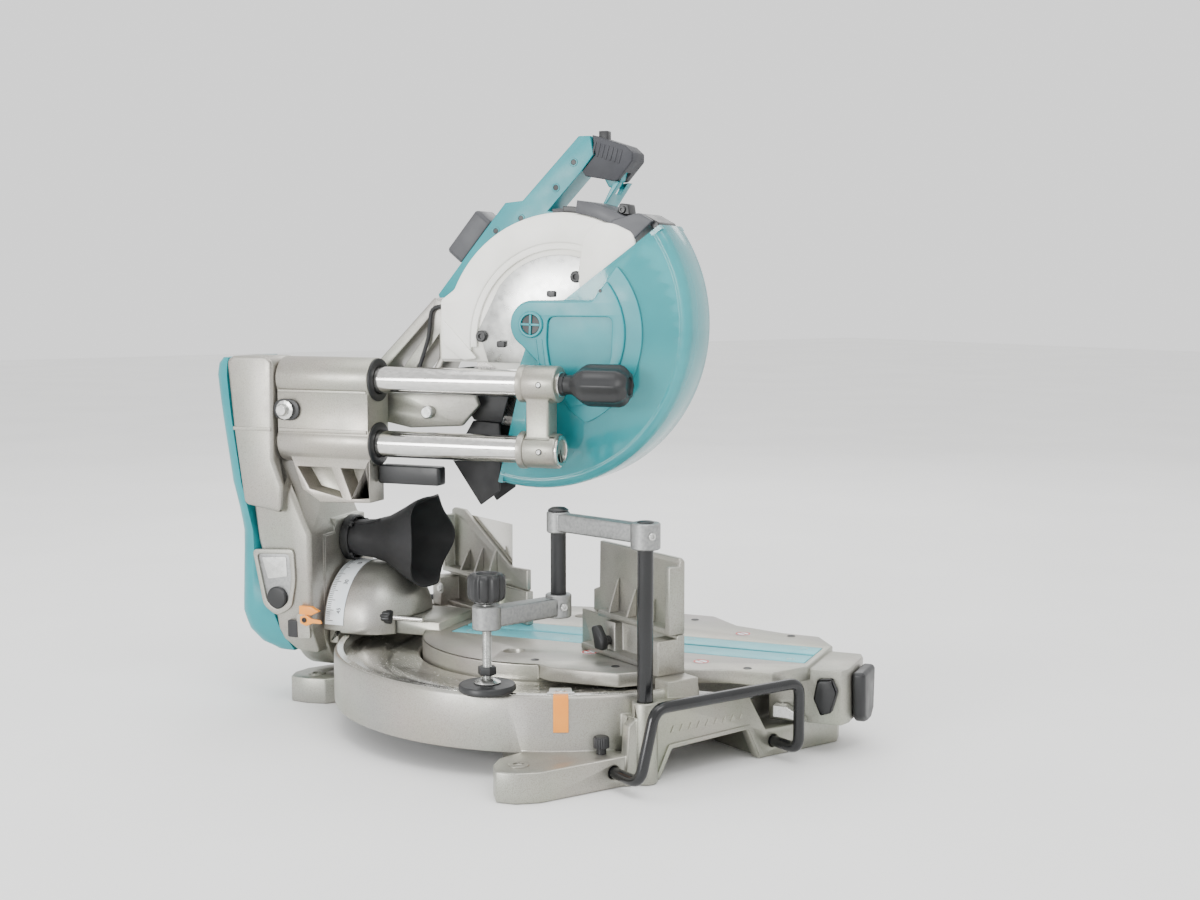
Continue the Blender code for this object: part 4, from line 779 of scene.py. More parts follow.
# %% Chromed rails
for tag, z, front in (("upper", RAIL_UP, 20), ("lower", RAIL_LOW, 34)):
    tube_profile = [(12, front), (14.2, front), (15, front - 0.8), (15, -359.5), (12, -359.5)]
    bm = spun(tube_profile, (RAIL_X, 0, z), FORWARD, 96, close=True)
    form(f"{tag}_rail_tube", bm, CHROMED, "arm", "steel", HEAD, (f"{tag}_rail",))
    seal = spun([(15.3, 0), (24.2, 0), (24.2, 1.6), (22.6, 2.6), (16.4, 2.6), (15.3, 1.6)],
                (RAIL_X, 188.6, z), FORWARD, 48, close=True)
    form(f"{tag}_rail_wiper", seal, BLACK_NYLON, "carriage", "black", HEAD)
print("rails turned")

# %% [markdown]
# ## Carriage and arm details
# The carriage and the arm meet at a dark seam. A hex bolt sits in a raised oval across it, ridges
# run along both castings, and a small panel low on the arm holds a plate and a black cap.

# %% Carriage and arm hardware
lock_y, lock_z = 294, 349
seat = arc((lock_y - 5, lock_z), 12, 90, 270, 14) + arc((lock_y + 5, lock_z), 12, -90, 90, 14)
form("lock_oval", solid(seat, -100.2, -97, SIDE, 0.9), BLACK_NYLON, "carriage", "black", HEAD)
ledge = [(191, RAIL_UP - 12), (306, RAIL_UP - 12), (306, RAIL_UP - 15), (191, RAIL_UP - 15)]
form("carriage_ridge_upper", solid(ledge, -98.6, -96.6, SIDE, 0.6), SPRAYED, "carriage", "casting", HEAD)
ledge = [(191, RAIL_LOW + 16), (306, RAIL_LOW + 16), (306, RAIL_LOW + 12), (191, RAIL_LOW + 12)]
form("carriage_ridge_lower", solid(ledge, -98.8, -96.6, SIDE, 0.6), SPRAYED, "carriage", "casting", HEAD)
ledge = [(313, RAIL_LOW + 16), (364, RAIL_LOW + 16), (363.6, RAIL_LOW + 12), (313, RAIL_LOW + 12)]
form("arm_ridge", solid(ledge, -104, -102.4, SIDE, 0.5), SPRAYED, "arm", "casting", HEAD)
frame_outline = softened([(350, 184), (294, 187), (292, 150), (298, 118), (318, 107), (336, 118)], 7)
inner = softened([(344, 179), (300, 181), (298, 150), (303, 124), (318, 114), (331, 123)], 6)
form("arm_panel_rim", solid(frame_outline, -91.2, -87.8, SIDE, 1.0, 3, [inner]), SPRAYED, "arm",
     "casting", HEAD)
form("arm_panel_floor", solid(inner, -88.9, -88.1, SIDE, 0.1), VISE_CAST, "arm", "vise", HEAD)
rating = softened([(338, 175), (305, 177), (304, 154), (330, 150)], 2)
form("arm_panel_plate", solid(rating, -89.6, -88.8, SIDE, 0.2), ZINC, "arm", "zinc", HEAD)
cap = spun([(0, 0), (13, 0), (13, 3.6), (11.6, 5.2), (9, 5.6), (0, 5.8)], (-88.4, 317, 129), LEFT, 48)
form("arm_panel_cap", cap, BLACK_NYLON, "arm", "black", HEAD)
stop_block = softened([(303, 104), (290, 104), (290, 84), (303, 84)], 2)
form("bevel_stop_block", solid(stop_block, -92, -87.6, SIDE, 0.8), BLACK_NYLON, "arm", "black", HEAD)
pad = softened([(292, 112), (275, 113), (273, 84), (290, 82)], 3)
form("pointer_pad", solid(pad, -91.4, -87.6, SIDE, 1.0), SPRAYED, "arm", "casting", HEAD)
arrow = softened([(285, 110), (276, 112), (270, 108), (258, 107), (256, 103), (268, 103), (277, 99),
                  (285, 102)], 1.6)
form("pointer_arrow", solid(arrow, -94, -91.5, SIDE, 0.5), ORANGE_ABS, "arm", "orange", HEAD)
socket_screw("pointer_screw", (-94, 279, 106), LEFT, 3.0, 1.6, BLACK_NYLON, "arm", "black")
print("arm hardware placed")

# %% [markdown]
# ## Bevel scale
# A printed aluminium strip runs round the back of the dome. Its white ground carries a tick for
# every degree, a longer one every five and the tens as numbers, all shaped as thin raised ink.

# %% Bevel scale with ticks and numbers
DOME_R, DOME_Z = 68, 95
strip = [(DOME_R + 0.2, 243), (DOME_R + 0.7, 243), (DOME_R + 0.7, 267), (DOME_R + 0.2, 267)]


def round_the_dome(radius, degrees, y):
    """A place on the dome's drum: degrees run over its top from its left side."""
    a = math.radians(180 - degrees)
    return Vector((radius * math.cos(a), y, DOME_Z + radius * math.sin(a)))


bm = bmesh.new()
rows = [[bm.verts.new(round_the_dome(r, d, y)) for r, y in strip] for d in range(2, 120, 3)]
for one, two in zip(rows, rows[1:]):
    for k in range(4):
        bm.faces.new((one[k], one[(k + 1) % 4], two[(k + 1) % 4], two[k]))
bm.faces.new(rows[0])
bm.faces.new(rows[-1])
LABEL = moulded("printed_label", "#DDE7EE", "#F0F4F6", 0.3, 0.4, 2.0, 0.01)
INK = moulded("printed_ink", "#17191B", "#202326", 0.4, 0.5, 2.0, 0.01)
form("bevel_scale_strip", bm, LABEL, "table", "white", HEAD)
ticks = bmesh.new()
for step in range(0, 56):
    degrees = 6 + step * 2
    length = 9 if step % 5 == 0 else 5
    corners = [round_the_dome(DOME_R + 0.8, degrees + w, 266 - l) for w, l in
               ((-0.25, 0), (0.25, 0), (0.25, length), (-0.25, length))]
    low = [ticks.verts.new(c) for c in corners]
    high = [ticks.verts.new(c + (c - Vector((0, c.y, DOME_Z))).normalized() * 0.12) for c in corners]
    ticks.faces.new(low)
    ticks.faces.new(high)
    for k in range(4):
        ticks.faces.new((low[k], low[(k + 1) % 4], high[(k + 1) % 4], high[k]))
form("bevel_scale_ticks", ticks, INK, "table", "black", HEAD)


def numeral(text, size, place, turn, depth=0.15):
    """A generic scale number as thin raised ink, drawn flat and turned into place."""
    font = bpy.data.curves.new("numeral", "FONT")
    font.body = text
    font.size = size
    font.align_x = "CENTER"
    font.extrude = depth
    drawn = bpy.data.objects.new("numeral", font)
    bpy.context.scene.collection.objects.link(drawn)
    graph = bpy.context.evaluated_depsgraph_get()
    mesh = bpy.data.meshes.new_from_object(drawn.evaluated_get(graph))
    bm = bmesh.new()
    bm.from_mesh(mesh)
    bmesh.ops.remove_doubles(bm, verts=bm.verts[:], dist=0.001)
    bmesh.ops.transform(bm, matrix=Matrix.Translation(place) @ turn, verts=bm.verts[:])
    bpy.data.objects.remove(drawn)
    bpy.data.curves.remove(font)
    bpy.data.meshes.remove(mesh)
    return bm


figures = None
for value, degrees in ((45, 16), (30, 46), (15, 76), (0, 106)):
    spot = round_the_dome(DOME_R + 0.85, degrees, 251)
    out = (spot - Vector((0, spot.y, DOME_Z))).normalized()
    up = Vector((0, 1, 0))
    right = up.cross(out)
    turn = Matrix((right, up, out)).transposed().to_4x4()
    one = numeral(str(value), 7, spot - up * 3, turn)
    figures = one if figures is None else merged(figures, one)
form("bevel_scale_figures", figures, INK, "table", "black", HEAD)
print("bevel scale printed")

# %% [markdown]
# ## Rear cover
# The arm's back is closed by a teal moulding with soft shoulders. We loft it from level to level:
# each level has a front seam, a back line and two round corners, as the real mould does.

# %% Loft the rear cover
LEVELS = ((61.5, 312, 346, -64), (70, 313, 363, -71), (86, 319.5, 374, -80), (108, 324.5, 378, -86.5),
          (150, 334, 376, -87), (204, 348, 373.5, -87.5), (232, 353.5, 376.5, -90), (262, 358, 381, -95),
          (338, 368.5, 392, -97), (386, 373, 399.5, -97), (400, 373, 396, -96), (406.5, 373, 388, -93))


def cover_section(z, front, back, left, right=8, corner=24):
    reach = min(corner, back - front - 2)
    points = [(left, front), (left, back - reach)]
    points += arc((left + reach, back - reach), reach, 180, 90, 8)[1:]
    points += arc((right - reach, back - reach), reach, 90, 0, 8)
    points += [(right, front)]
    return [Vector((x, y, z)) for x, y in points]


def between(one, two, share):
    return tuple(a + (b - a) * share for a, b in zip(one, two))


bm = bmesh.new()
smooth_levels = []
for one, two in zip(LEVELS, LEVELS[1:]):
    smooth_levels += [between(one, two, k / 3) for k in range(3)]
smooth_levels.append(LEVELS[-1])
rows = [[bm.verts.new(p) for p in cover_section(*level)] for level in smooth_levels]
for one, two in zip(rows, rows[1:]):
    for k in range(len(one)):
        j = (k + 1) % len(one)
        bm.faces.new((one[k], one[j], two[j], two[k]))
bm.faces.new(rows[0])
bm.faces.new(rows[-1])
inner_verts = [v for v in bm.verts if v.co.y > 330]
bmesh.ops.smooth_vert(bm, verts=inner_verts, factor=0.5, use_axis_x=True, use_axis_y=True)
form("rear_cover_moulding", bm, TEAL_ABS, "arm", "teal", HEAD, ("rear_cover",), 50)
rib = [(376, 258), (383, 258), (394, 352), (388, 356)]
form("rear_cover_rib", solid(softened(rib, 2), -60, -34, SIDE, 1.5), TEAL_ABS, "arm", "teal", HEAD)
print("rear cover levels", len(smooth_levels))

# %% [markdown]
# ## Dust nozzle
# A moulded rubber horn with six soft sides that flares towards the blade. It is one open skin
# with a rolled lip, and a collar with bosses holds it to the arm.

# %% Dust nozzle horn and collar
HORN = ((271.5, 190, 24, 21), (250, 190, 25, 22), (236, 190, 26.5, 23.5), (215, 191, 32, 29),
        (200, 191, 39, 37), (184, 191, 46, 46), (170, 192, 52, 53), (160, 192, 55, 57))
COUNT, SIDES = 72, 6
PETAL_DEPTH, MOUTH_WAVE, HORN_WALL = 0.07, 26 * 0.35, 2.2
bm = bmesh.new()
rows = []
for place in (*HORN, *reversed(HORN)):
    y, z, wide, high = place
    inside = len(rows) >= len(HORN)
    row = []
    for k in range(COUNT):
        a = 2 * math.pi * k / COUNT
        flare = (HORN[0][0] - y) / (HORN[0][0] - HORN[-1][0])
        petal = 1 - PETAL_DEPTH * flare * (0.5 - 0.5 * math.cos(SIDES * a))
        lean = MOUTH_WAVE * flare ** 3 * (0.5 - 0.5 * math.cos(4 * a))
        shrink = HORN_WALL if inside else 0
        row.append(bm.verts.new(((wide * petal - shrink) * math.cos(a), y + lean,
                                 z + (high * petal - shrink) * math.sin(a))))
    rows.append(row)
for one, two in zip(rows, rows[1:] + [rows[0]]):
    for k in range(COUNT):
        j = (k + 1) % COUNT
        bm.faces.new((one[k], one[j], two[j], two[k]))
form("dust_nozzle_horn", bm, RUBBER, "arm", "rubber", HEAD, ("dust_nozzle",), 60)
collar = spun([(24.6, 0), (27.4, 0), (27.4, 9), (26.4, 10), (24.6, 10)], (0, 271.4, 190), FORWARD, 48,
              close=True)
form("nozzle_collar", collar, BLACK_NYLON, "arm", "black", HEAD)
for k in range(4):
    a = math.radians(45 + 90 * k)
    socket_screw(f"nozzle_boss_{k}", (24.8 * math.cos(a), 262, 190 + 24.8 * math.sin(a)), FORWARD, 3.4, 4,
                 BLACK_NYLON, "arm", "black")
for x in (-12, 12):
    rib = swept([(x, 262, 190 + 18.6), (x, 244, 190 + 19.6), (x * 1.1, 224, 190 + 25)], 1.6, 10)
    form(f"nozzle_rib_{'left' if x < 0 else 'right'}", rib, RUBBER, "arm", "rubber", HEAD)
print("nozzle shaped")

# %% [markdown]
# ## Base details
# The table ring has a machined track, which is bright where the casting is dull. An orange marker
# strip is let into the ring, the side wall has a raised lip round its hand hole, and a scale plate
# runs along the front.

# %% Machined track, marker and side wall
UP = (0, 0, 1)


def upright_sector(profile, first, last, steps):
    """A closed profile of (radius, z) swept about the upright axis between two angles."""
    bm = bmesh.new()
    rows = []
    for i in range(steps + 1):
        a = math.radians(first + (last - first) * i / steps)
        rows.append([bm.verts.new((r * math.cos(a), r * math.sin(a), z)) for r, z in profile])
    for one, two in zip(rows, rows[1:]):
        for k in range(len(profile)):
            j = (k + 1) % len(profile)
            bm.faces.new((one[k], one[j], two[j], two[k]))
    bm.faces.new(rows[0])
    bm.faces.new(rows[-1])
    return bm


track = [(160, 76.1), (160, 77.0), (196, 77.0), (198, 78.2), (228, 78.2), (230, 77.0), (241, 77.0),
         (241, 76.1)]
form("machined_track", upright_sector(track, 0, 180, 90), MACHINED, "base", "steel")
rim_line = [(243.5, 86.05), (243.5, 86.5), (250.5, 86.5), (250.5, 86.05)]
form("machined_rim", upright_sector(rim_line, 0, 180, 90), MACHINED, "base", "steel")
MARK = 147
strip = [(254.1, 50), (255.2, 50), (255.2, 82.6), (252.4, 87.0), (238, 87.0), (238, 86.2), (252, 86.2),
         (254.1, 82)]
form("orange_marker", upright_sector(strip, MARK - 1.7, MARK + 1.7, 4), ORANGE_ABS, "base", "orange")
tab = [(196, 78.3), (196, 80.4), (236, 80.4), (241, 87.4), (246, 87.4), (246, 86.6), (242, 86.6), (237, 78.3)]
form("marker_tab", upright_sector(tab, MARK - 3.2, MARK + 3.2, 5), ZINC, "base", "zinc")
a = math.radians(MARK)
socket_screw("marker_screw", (214 * math.cos(a), 214 * math.sin(a), 80.3), UP, 5, 2.4, ZINC, "base",
             "zinc", BASE)
WALL_X = 265
for side, tag in ((-1, "left"), (1, "right")):
    low, high = sorted((side * (WALL_X - 0.6), side * (WALL_X + 1.3)))
    lip = [(-80, 3), (-62, 38.5), (44, 34.5), (60, 3), (54.6, 3), (40.6, 30), (-58.6, 34), (-74.6, 3)]
    form(f"{tag}_arch_lip", solid(softened(lip, 2), low, high, SIDE, 0.6), SPRAYED, "base", "casting")
    marks = None
    for k in range(9):
        y = -50 + 11 * k
        low, high = sorted((side * (WALL_X - 0.4), side * (WALL_X + 0.7)))
        mark = solid([(y - 3.6, 46), (y + 3.6, 46), (y, 53)], low, high, SIDE, 0.2)
        marks = mark if marks is None else merged(marks, mark)
    form(f"{tag}_wall_marks", marks, SPRAYED, "base", "casting")
    for y in (-178, 196):
        x = side * (236 if y < 0 else 226)
        seat = spun([(5.2, 0), (10.5, 0), (10.5, 0.8), (9.6, 1.3), (5.2, 1.3)], (x, y, 29.9), UP, 36,
                    close=True)
        form(f"{tag}_{'front' if y < 0 else 'rear'}_foot_seat", seat, SPRAYED, "base", "casting")
plate = [(229, 56.1), (229, 56.9), (251, 56.9), (251, 56.1)]
form("mitre_scale_plate", upright_sector(plate, 182, 358, 90), LABEL, "base", "white")
ticks = bmesh.new()
for degrees in range(200, 341, 2):
    long_one = (degrees - 270) % 10 == 0
    reach = 9 if long_one else 5
    a = math.radians(degrees)
    out, along = Vector((math.cos(a), math.sin(a), 0)), Vector((-math.sin(a), math.cos(a), 0))
    corners = [out * r + along * w + Vector((0, 0, 56.95)) for r, w in
               ((250, -0.25), (250, 0.25), (250 - reach, 0.25), (250 - reach, -0.25))]
    low = [ticks.verts.new(c) for c in corners]
    high = [ticks.verts.new(c + Vector((0, 0, 0.12))) for c in corners]
    ticks.faces.new(low)
    ticks.faces.new(high)
    for k in range(4):
        ticks.faces.new((low[k], low[(k + 1) % 4], high[(k + 1) % 4], high[k]))
form("mitre_scale_ticks", ticks, INK, "base", "black")
figures = None
for value in (0, 15, 30, 45, 60):
    for side in ((-1, 1) if value else (1,)):
        a = math.radians(270 + side * value)
        out = Vector((math.cos(a), math.sin(a), 0))
        turn = Matrix.Rotation(a - math.radians(270), 4, "Z")
        one = numeral(str(value), 7, out * 238.5 + Vector((0, 0, 57.0)), turn)
        figures = one if figures is None else merged(figures, one)
form("mitre_scale_figures", figures, INK, "base", "black")
print("base dressed")

# %% [markdown]
# ## Fluted knobs
# Knobs that are gripped with wet or gloved hands have flutes. We spin each profile and pull the
# radius in by a cosine where the flutes run.

# %% Fluted knobs
def fluted(profile, place, axis, flutes, depth, first, last, steps=160):
    """A turned knob: profile is (radius, height), with flutes on the rows from first to last."""
    bm = bmesh.new()
    rows = []
    for i, (r, h) in enumerate(profile):
        row = []
        for k in range(steps):
            a = 2 * math.pi * k / steps
            pull = depth * max(0.0, math.cos(flutes * a)) if first <= i <= last else 0
            row.append(bm.verts.new(((r - pull) * math.cos(a), (r - pull) * math.sin(a), h)))
        rows.append(row)
    for one, two in zip(rows, rows[1:]):
        for k in range(steps):
            j = (k + 1) % steps
            bm.faces.new((one[k], one[j], two[j], two[k]))
    bmesh.ops.remove_doubles(bm, verts=bm.verts[:], dist=0.002)
    open_edges = [e for e in bm.edges if e.is_boundary]
    bmesh.ops.holes_fill(bm, edges=open_edges, sides=0)
    bmesh.ops.transform(bm, matrix=Matrix.Translation(place) @ toward(axis), verts=bm.verts[:])
    return bm


for side, tag in ((-1, "left"), (1, "right")):
    low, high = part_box(f"{tag}_holder_clamp")
    x, y, z = ((low.x + high.x) / 2 / MM, (low.y + high.y) / 2 / MM, low.z / MM)
    knob = fluted([(5, 0), (5, 5.6), (8, 6.4), (8, 15.4), (7, 17), (5.4, 17.7), (0, 17.7)], (x, y, z), UP, 18,
                  0.7, 2, 4)
    form(f"{tag}_holder_thumb_screw", knob, BLACK_NYLON, f"{tag}_rest_screw", "black", BASE,
         (f"{tag}_holder_clamp",))
print("thumb screws fluted")

# %% [markdown]
# ## Hold-down vise
# Two cast arms on black rods, a zinc screw with a black fluted knob and a black pad. Each arm's eye
# is a boss thicker than the bar, with a set screw in its side.

# %% Vise arms, rods, knob and pad
VISE_ROD, VISE_POST, VISE_SCREW = (-262, 71), (-145, 96), (-155, 188)


def bar_between(start, end, low, high, start_radius, end_radius, edge):
    one, two = Vector(start), Vector(end)
    turn = math.degrees(math.atan2(two.y - one.y, two.x - one.x))
    outline = arc(start, start_radius, turn + 90, turn + 270, 16) + arc(end, end_radius, turn - 90,
                                                                        turn + 90, 16)
    return solid(outline, low, high, PLAN, edge)


def eye(place, radius, low, high):
    return spun([(0, low), (radius - 1.2, low), (radius, low + 1.2), (radius, high - 1.2),
                 (radius - 1.2, high),
                 (0, high)], (*place, 0), UP, 48)


upper = merged(bar_between(VISE_ROD, VISE_POST, 240, 258, 10.5, 9, 2.5), eye(VISE_ROD, 14.8, 234, 260),
               eye(VISE_POST, 12, 238, 259.5))
form("vise_upper_casting", upper, VISE_CAST, "vise_post", "vise", BASE, ("vise_upper_arm",))
post = spun([(0, 40), (7, 40), (8, 41), (8, 236), (0, 236)], (*VISE_ROD, 0), UP, 48)
form("vise_long_rod", post, GLOSS_BLACK, "vise_post", "black_steel")
post_top = spun([(0, 259.8), (8.4, 259.8), (8.4, 260.6), (7.4, 261.4), (0, 261.6)], (*VISE_ROD, 0), UP, 40)
form("vise_rod_end", post_top, BLACK_NYLON, "vise_post", "black")
lower = merged(bar_between(VISE_POST, VISE_SCREW, 152, 171, 10, 11, 2.5), eye(VISE_POST, 13.5, 150, 174),
               eye(VISE_SCREW, 14.5, 150, 174))
form("vise_lower_casting", lower, VISE_CAST, "vise_arm", "vise", BASE, ("vise_lower_arm",))
for tag, place, z, body in (("upper", VISE_ROD, 248, "vise_post"), ("lower", VISE_POST, 162, "vise_arm")):
    socket_screw(f"vise_set_screw_{tag}", (place[0] - 14, place[1] + 3, z), LEFT, 4, 2.6, ZINC, body,
                 "zinc", BASE)
knob = fluted([(0, 179), (15.5, 179), (18.6, 182), (19.4, 186), (19.4, 200), (18.4, 203.6), (15.5, 205.8),
               (11, 205.8), (10, 204.6), (0, 204.6)], (*VISE_SCREW, 0), UP, 9, 2.2, 2, 5)
form("vise_knob", knob, BLACK_NYLON, "vise_feed", "black")
thread = [(0, 90.5), (4.6, 90.5)]
height = 92.0
while height < 149:
    thread += [(4.0, height), (4.9, height + 0.8)]
    height += 1.6
thread += [(4.9, 150), (4.9, 175), (9, 176), (15.5, 179), (0, 179)]
form("vise_thread", spun(thread, (*VISE_SCREW, 0), UP, 40), ZINC, "vise_feed", "zinc", BASE, ("vise_screw",))
nut = spun([(5.2, 104), (9, 104), (9.4, 105), (9.4, 111), (9, 112), (5.2, 112)], (*VISE_SCREW, 0), UP, 6,
           close=True)
form("vise_collar", nut, BLACK_NYLON, "vise_feed", "black")
pad = spun([(0, 86.4), (26, 86.4), (28.8, 89), (28.8, 93), (27.6, 94.6), (16, 95.2), (0, 95.2)],
           (*VISE_SCREW, 0), UP, 64)
form("vise_pad_foot", pad, BLACK_NYLON, "vise_foot", "black", BASE, ("vise_pad",))
cone = spun([(5.4, 95.3), (13, 95.3), (13.6, 96.4), (7.4, 100), (5.4, 100)], (*VISE_SCREW, 0), UP, 48,
            close=True)
form("vise_pad_cone", cone, ZINC, "vise_foot", "zinc")
print("vise built")

# %% [markdown]
# ## Work holders
# Each side has a sliding holder bent from 12 mm bar and enamelled gloss black. The bends are
# smooth, so the route's corners are rounded before a ring of points is swept along it.

# %% Bent work holders
for side, tag in ((-1, "left"), (1, "right")):
    route = [(side * 130, 108, 16), (side * 304, 108, 16), (side * 304, 90, 86), (side * 304, -94, 86),
             (side * 304, -94, 16), (side * 150, -94, 16)]
    bar = swept(route, 5.8, 24, 14, 8)
    form(f"{tag}_holder_bar", bar, GLOSS_BLACK, f"{tag}_rest", "black_steel", BASE, (f"{tag}_holder",), 60)
print("holders bent")

# %% [markdown]
# ## Turntable details
# Round notices are plain red rings with a bar and no words, and countersunk screws hold the kerf
# boards down. A chromed plunger with a fluted knob stands at the back of the disc, on the left.

# %% Turntable hardware
SIGNAL_RED = moulded("signal_red_print", "#C8322E", "#D6403A", 0.35, 0.45, 2.0, 0.01)
for k, (x, y) in enumerate(((-78, -70), (-74, -196), (78, -70), (74, -196))):
    paper = disc(9, 0, 0.25, (x, y, 95.05), UP, 0.1, 40)
    form(f"notice_disc_{k}", paper, LABEL, "table", "white", HEAD)
    red = spun([(6.4, 0.28), (8.6, 0.28), (8.6, 0.42), (6.4, 0.42)], (x, y, 95.05), UP, 40, close=True)
    slash = solid([(x - 5, y - 5.8), (x - 4, y - 6.4), (x + 5, y + 5.8), (x + 4, y + 6.4)], 95.33, 95.47,
                  PLAN)
    form(f"notice_ring_{k}", merged(red, slash), SIGNAL_RED, "table", "orange", HEAD)
for side, tag in ((-1, "left"), (1, "right")):
    for k, y in enumerate((-280, -150, -20, 100)):
        screw = spun([(0, -1.2), (1.6, -1.2), (3.6, 0.1), (4.2, 0.12), (4.2, 0), (0, -0.1)],
                     (side * 27, y, 95.02), UP, 24)
        form(f"{tag}_board_screw_{k}", screw, ZINC, "table", "zinc", HEAD)
    # Black discs on the table plate are painted shade standing for its holes.
    for k, (x, y) in enumerate(((132, -30), (128, -120), (84, -250))):
        hole = spun([(0, 0.1), (3.6, 0.1), (4.6, 0.35), (4.6, 0), (0, 0)], (side * x, y, 95.0), UP, 28)
        form(f"{tag}_plate_hole_{k}", hole, BLACK_NYLON, "table", "black", HEAD)
plunger = swept([(-50, 186, 108), (-50, 148, 108)], 3.2, 20)
form("plunger_rod", plunger, CHROMED, "table", "steel", HEAD)
plunger_knob = fluted([(0, 0), (7, 0), (8.2, 1.4), (8.2, 13), (6.8, 15), (0, 15.4)], (-50, 189, 108),
                      (0, 1, 0),
                      10, 0.8, 2, 3, 80)
form("plunger_knob", plunger_knob, BLACK_NYLON, "table", "black", HEAD)
print("turntable dressed")

# %% [markdown]
# ## Fence details
# The fence's high part is held by a black wing lever, and machined faces look toward the work. Thin
# webs stiffen its back. The cast faces stay as they are; only the bright face and screws are added.

# %% Fence faces, webs and screws
for side, tag in ((-1, "left"), (1, "right")):
    inner_end = 62 if side < 0 else 56
    low, high = sorted((side * inner_end, side * 232))
    face = solid([(low, 98), (high, 98), (high, 132), (low, 132)], -0.35, 0.0, FRONT, 0.0)
    form(f"{tag}_fence_face", face, MACHINED, "base", "steel")
    low, high = sorted((side * 100, side * 230))
    form(f"{tag}_high_face", solid([(low, 139), (high, 139), (high, 208), (low, 208)], -0.35, 0.0, FRONT,
                                   0.0),
         MACHINED, f"{tag}_fence_top", "steel")
    for k, x in enumerate((126, 158, 190)):
        web = [(7, 142), (19.5, 142), (8.5, 176 - 6 * k), (7, 178 - 6 * k)]
        at = side * x
        form(f"{tag}_fence_web_{k}", solid(web, at - 1.6, at + 1.6, SIDE, 0.5), SPRAYED, f"{tag}_fence_top",
             "casting")
    for k, (x, z) in enumerate(((118, 101), (211, 112))):
        hex_bolt(f"{tag}_fence_screw_{k}", (side * x, 12.5 if k == 0 else 34.4, z + 6), (0, 1, 0), 9, 3.2,
                 ZINC, "base", "zinc",
                 BASE, 6.5)
print("fences dressed")

# %% [markdown]
# ## Handle
# The handle is a two-part moulding with a soft dark overmould where the hand holds it. The screws
# that hold the halves sit in round wells, and short ridges cross the side of the grip.

# %% Screw wells and grip ridges
HANDLE_LEFT = 40
wells = ((20, 600), (-2, 628), (96, 552), (64, 566), (130, 502))
for k, (y, z) in enumerate(wells):
    well = spun([(0, 0.2), (3.2, 0.2), (3.4, 0.6), (4.6, 0.6), (5.0, 0.1), (0, 0.0)], (HANDLE_LEFT, y, z),
                LEFT, 32)
    form(f"handle_well_{k}", well, TEAL_ABS, "head", "teal", HEAD)
    # A black disc on each well's floor is painted shade for the deep screw hole.
    form(f"handle_well_painted_shade_{k}", disc(3.1, 0.2, 0.45, (HANDLE_LEFT, y, z), LEFT, 0.1, 24), BLACK_NYLON,
         "head",
         "black", HEAD)
ridge_lines = None
for k in range(7):
    one = solid(softened([(-61 + k * 5.2, 640 + k * 1.6), (-58.6 + k * 5.2, 640.8 + k * 1.6),
                          (-54.6 + k * 5.2, 626 + k * 1.6), (-57 + k * 5.2, 625.2 + k * 1.6)], 0.8), 40.2,
                41.4,
                SIDE, 0.4)
    ridge_lines = one if ridge_lines is None else merged(ridge_lines, one)
form("grip_ridges_left", ridge_lines, OVERMOULD, "head", "grey", HEAD)
print("handle dressed")

# %% [markdown]
# ## Motor
# The motor's end cap is vented, and three low ribs run round its housing. These are on the far side
# of the saw, but the saw is looked at from all round.

# %% Motor vents and ribs
MOTOR = (66, 478)
for k in range(12):
    a = math.radians(30 * k)
    spot = (160.0, MOTOR[0] + 27 * math.cos(a), MOTOR[1] + 27 * math.sin(a))
    # Each vent is a thin black slot laid on the cap: painted shade where the opening would be dark.
    vent_shade_bm = solid(softened([(-1.8, -8), (1.8, -8), (1.8, 8), (-1.8, 8)], 1.6), 0.0, 0.4, PLAN)
    turn = Matrix.Translation(spot) @ toward((1, 0, 0)) @ Matrix.Rotation(-a, 4, "Z")
    bmesh.ops.transform(vent_shade_bm, matrix=turn, verts=vent_shade_bm.verts[:])
    form(f"motor_vent_painted_shade_{k}", vent_shade_bm, BLACK_NYLON, "head", "black", HEAD)
for k, x in enumerate((100, 118, 136)):
    hoop = spun([(43.6, 0), (44.4, 0.4), (44.4, 2.6), (43.6, 3)], (x, *MOTOR), (1, 0, 0), 64, close=True)
    form(f"motor_rib_{k}", hoop, TEAL_ABS, "head", "teal", HEAD)
cap_ring = spun([(30, 0), (41, 0), (42, -0.8), (42, -6), (40, -6), (40, -1.6), (30, -1.6)], (160.2, *MOTOR),
                (1, 0, 0), 64, close=True)
form("motor_cap_ring", cap_ring, BLACK_NYLON, "head", "black", HEAD)
print("motor dressed")

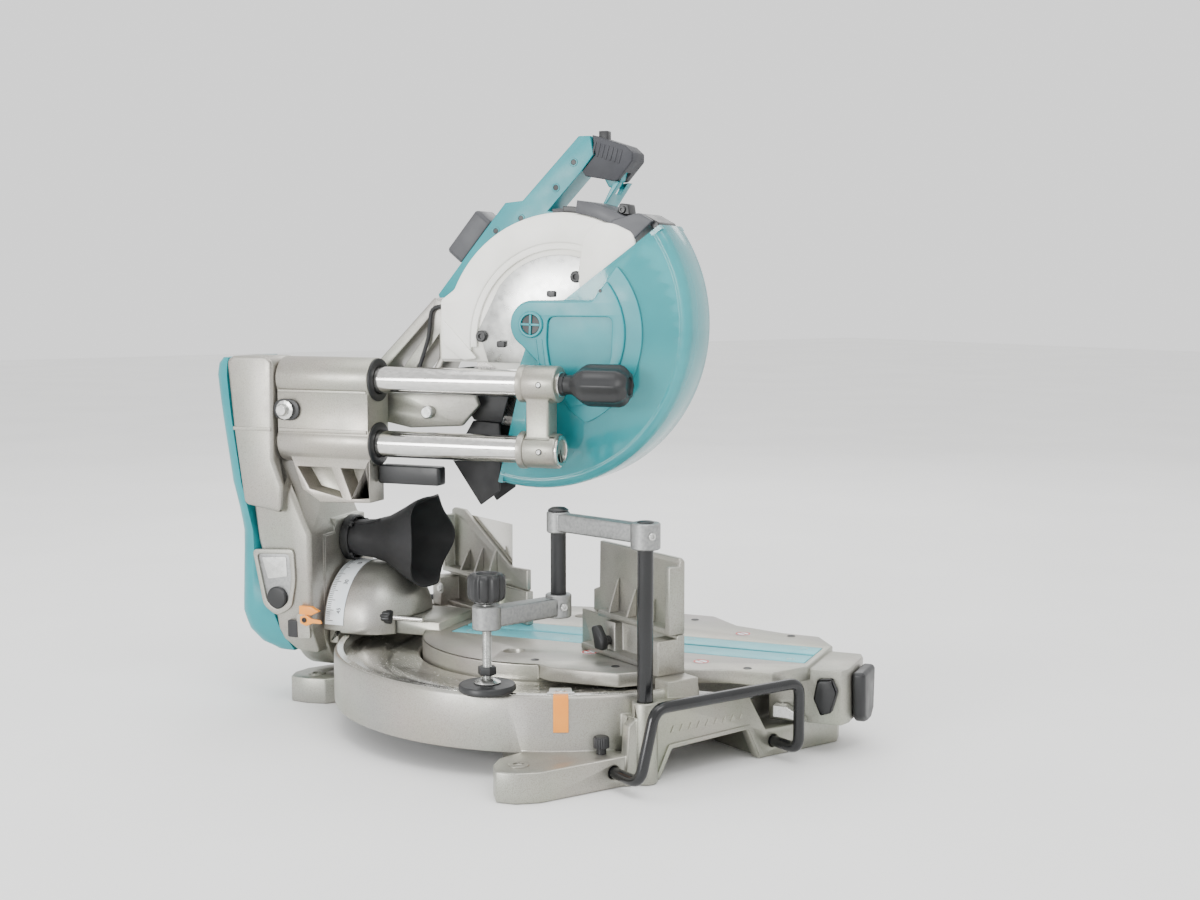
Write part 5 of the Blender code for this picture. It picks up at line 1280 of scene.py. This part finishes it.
# %% [markdown]
# ## Blade
# The blade's body is ground steel, and each tooth ends in a brazed carbide tip, a little wider than
# the body. The tips are small blocks set by one loop.

# %% Carbide tips
TEETH = 45
TIP_ROOT, TIP_TOP, TIP_BACK = 122.4, 129.8, 129.5
TIP_HALF, TIP_LEAN, TIP_LONG = 1.35, 0.1, 1.6
CARBIDE = metal("brazed_carbide", "#6F7072", "#8A8B8C", 0.3, 0.42, (1, 1, 1), 2)
tips = None
for k in range(TEETH):
    a = 2 * math.pi * k / TEETH
    out, along = Vector((math.cos(a), math.sin(a))), Vector((-math.sin(a), math.cos(a)))
    here = Vector(ARBOR)
    shape = [here + out * TIP_ROOT + along * TIP_LEAN, here + out * TIP_TOP - along * TIP_LEAN,
             here + out * TIP_BACK + along * TIP_LONG, here + out * TIP_ROOT + along * TIP_LONG]
    tip = solid([tuple(p) for p in shape], -TIP_HALF, TIP_HALF, SIDE)
    tips = tip if tips is None else merged(tips, tip)
form("carbide_tips", tips, CARBIDE, "arbor", "steel", HEAD)
print("teeth", TEETH)

# %% [markdown]
# ## Case wall
# A white inner wall closes the case between its rim band and the guard's bracket.

# %% Case wall
wall = [(-46, 466), (-62, 474), (-88, 500), (-108, 530), (-104, 546), (-82, 556), (-60, 558), (-46, 540),
        (-40, 500)]
form("case_inner_wall", solid(softened(wall, 6), -38.6, -34.2, SIDE, 1.2), WHITE_ABS, "head", "white", HEAD)

# %% [markdown]
# ## The bench
# A plain pale floor. It isn't part of the saw.

# %% Floor
bm = bmesh.new()
bmesh.ops.create_grid(bm, x_segments=1, y_segments=1, size=9.0)
floor_mesh = bpy.data.meshes.new("floor")
bm.to_mesh(floor_mesh)
bm.free()
floor = bpy.data.objects.new("floor", floor_mesh)
bpy.context.scene.collection.objects.link(floor)
floor.location.z = -0.0005
PAPER, tree, shader, where = start("pale_paper", Roughness=0.85)
mottled(tree, shader, where, "#F2F2F1", "#F6F6F5", 400)
floor_mesh.materials.append(PAPER)
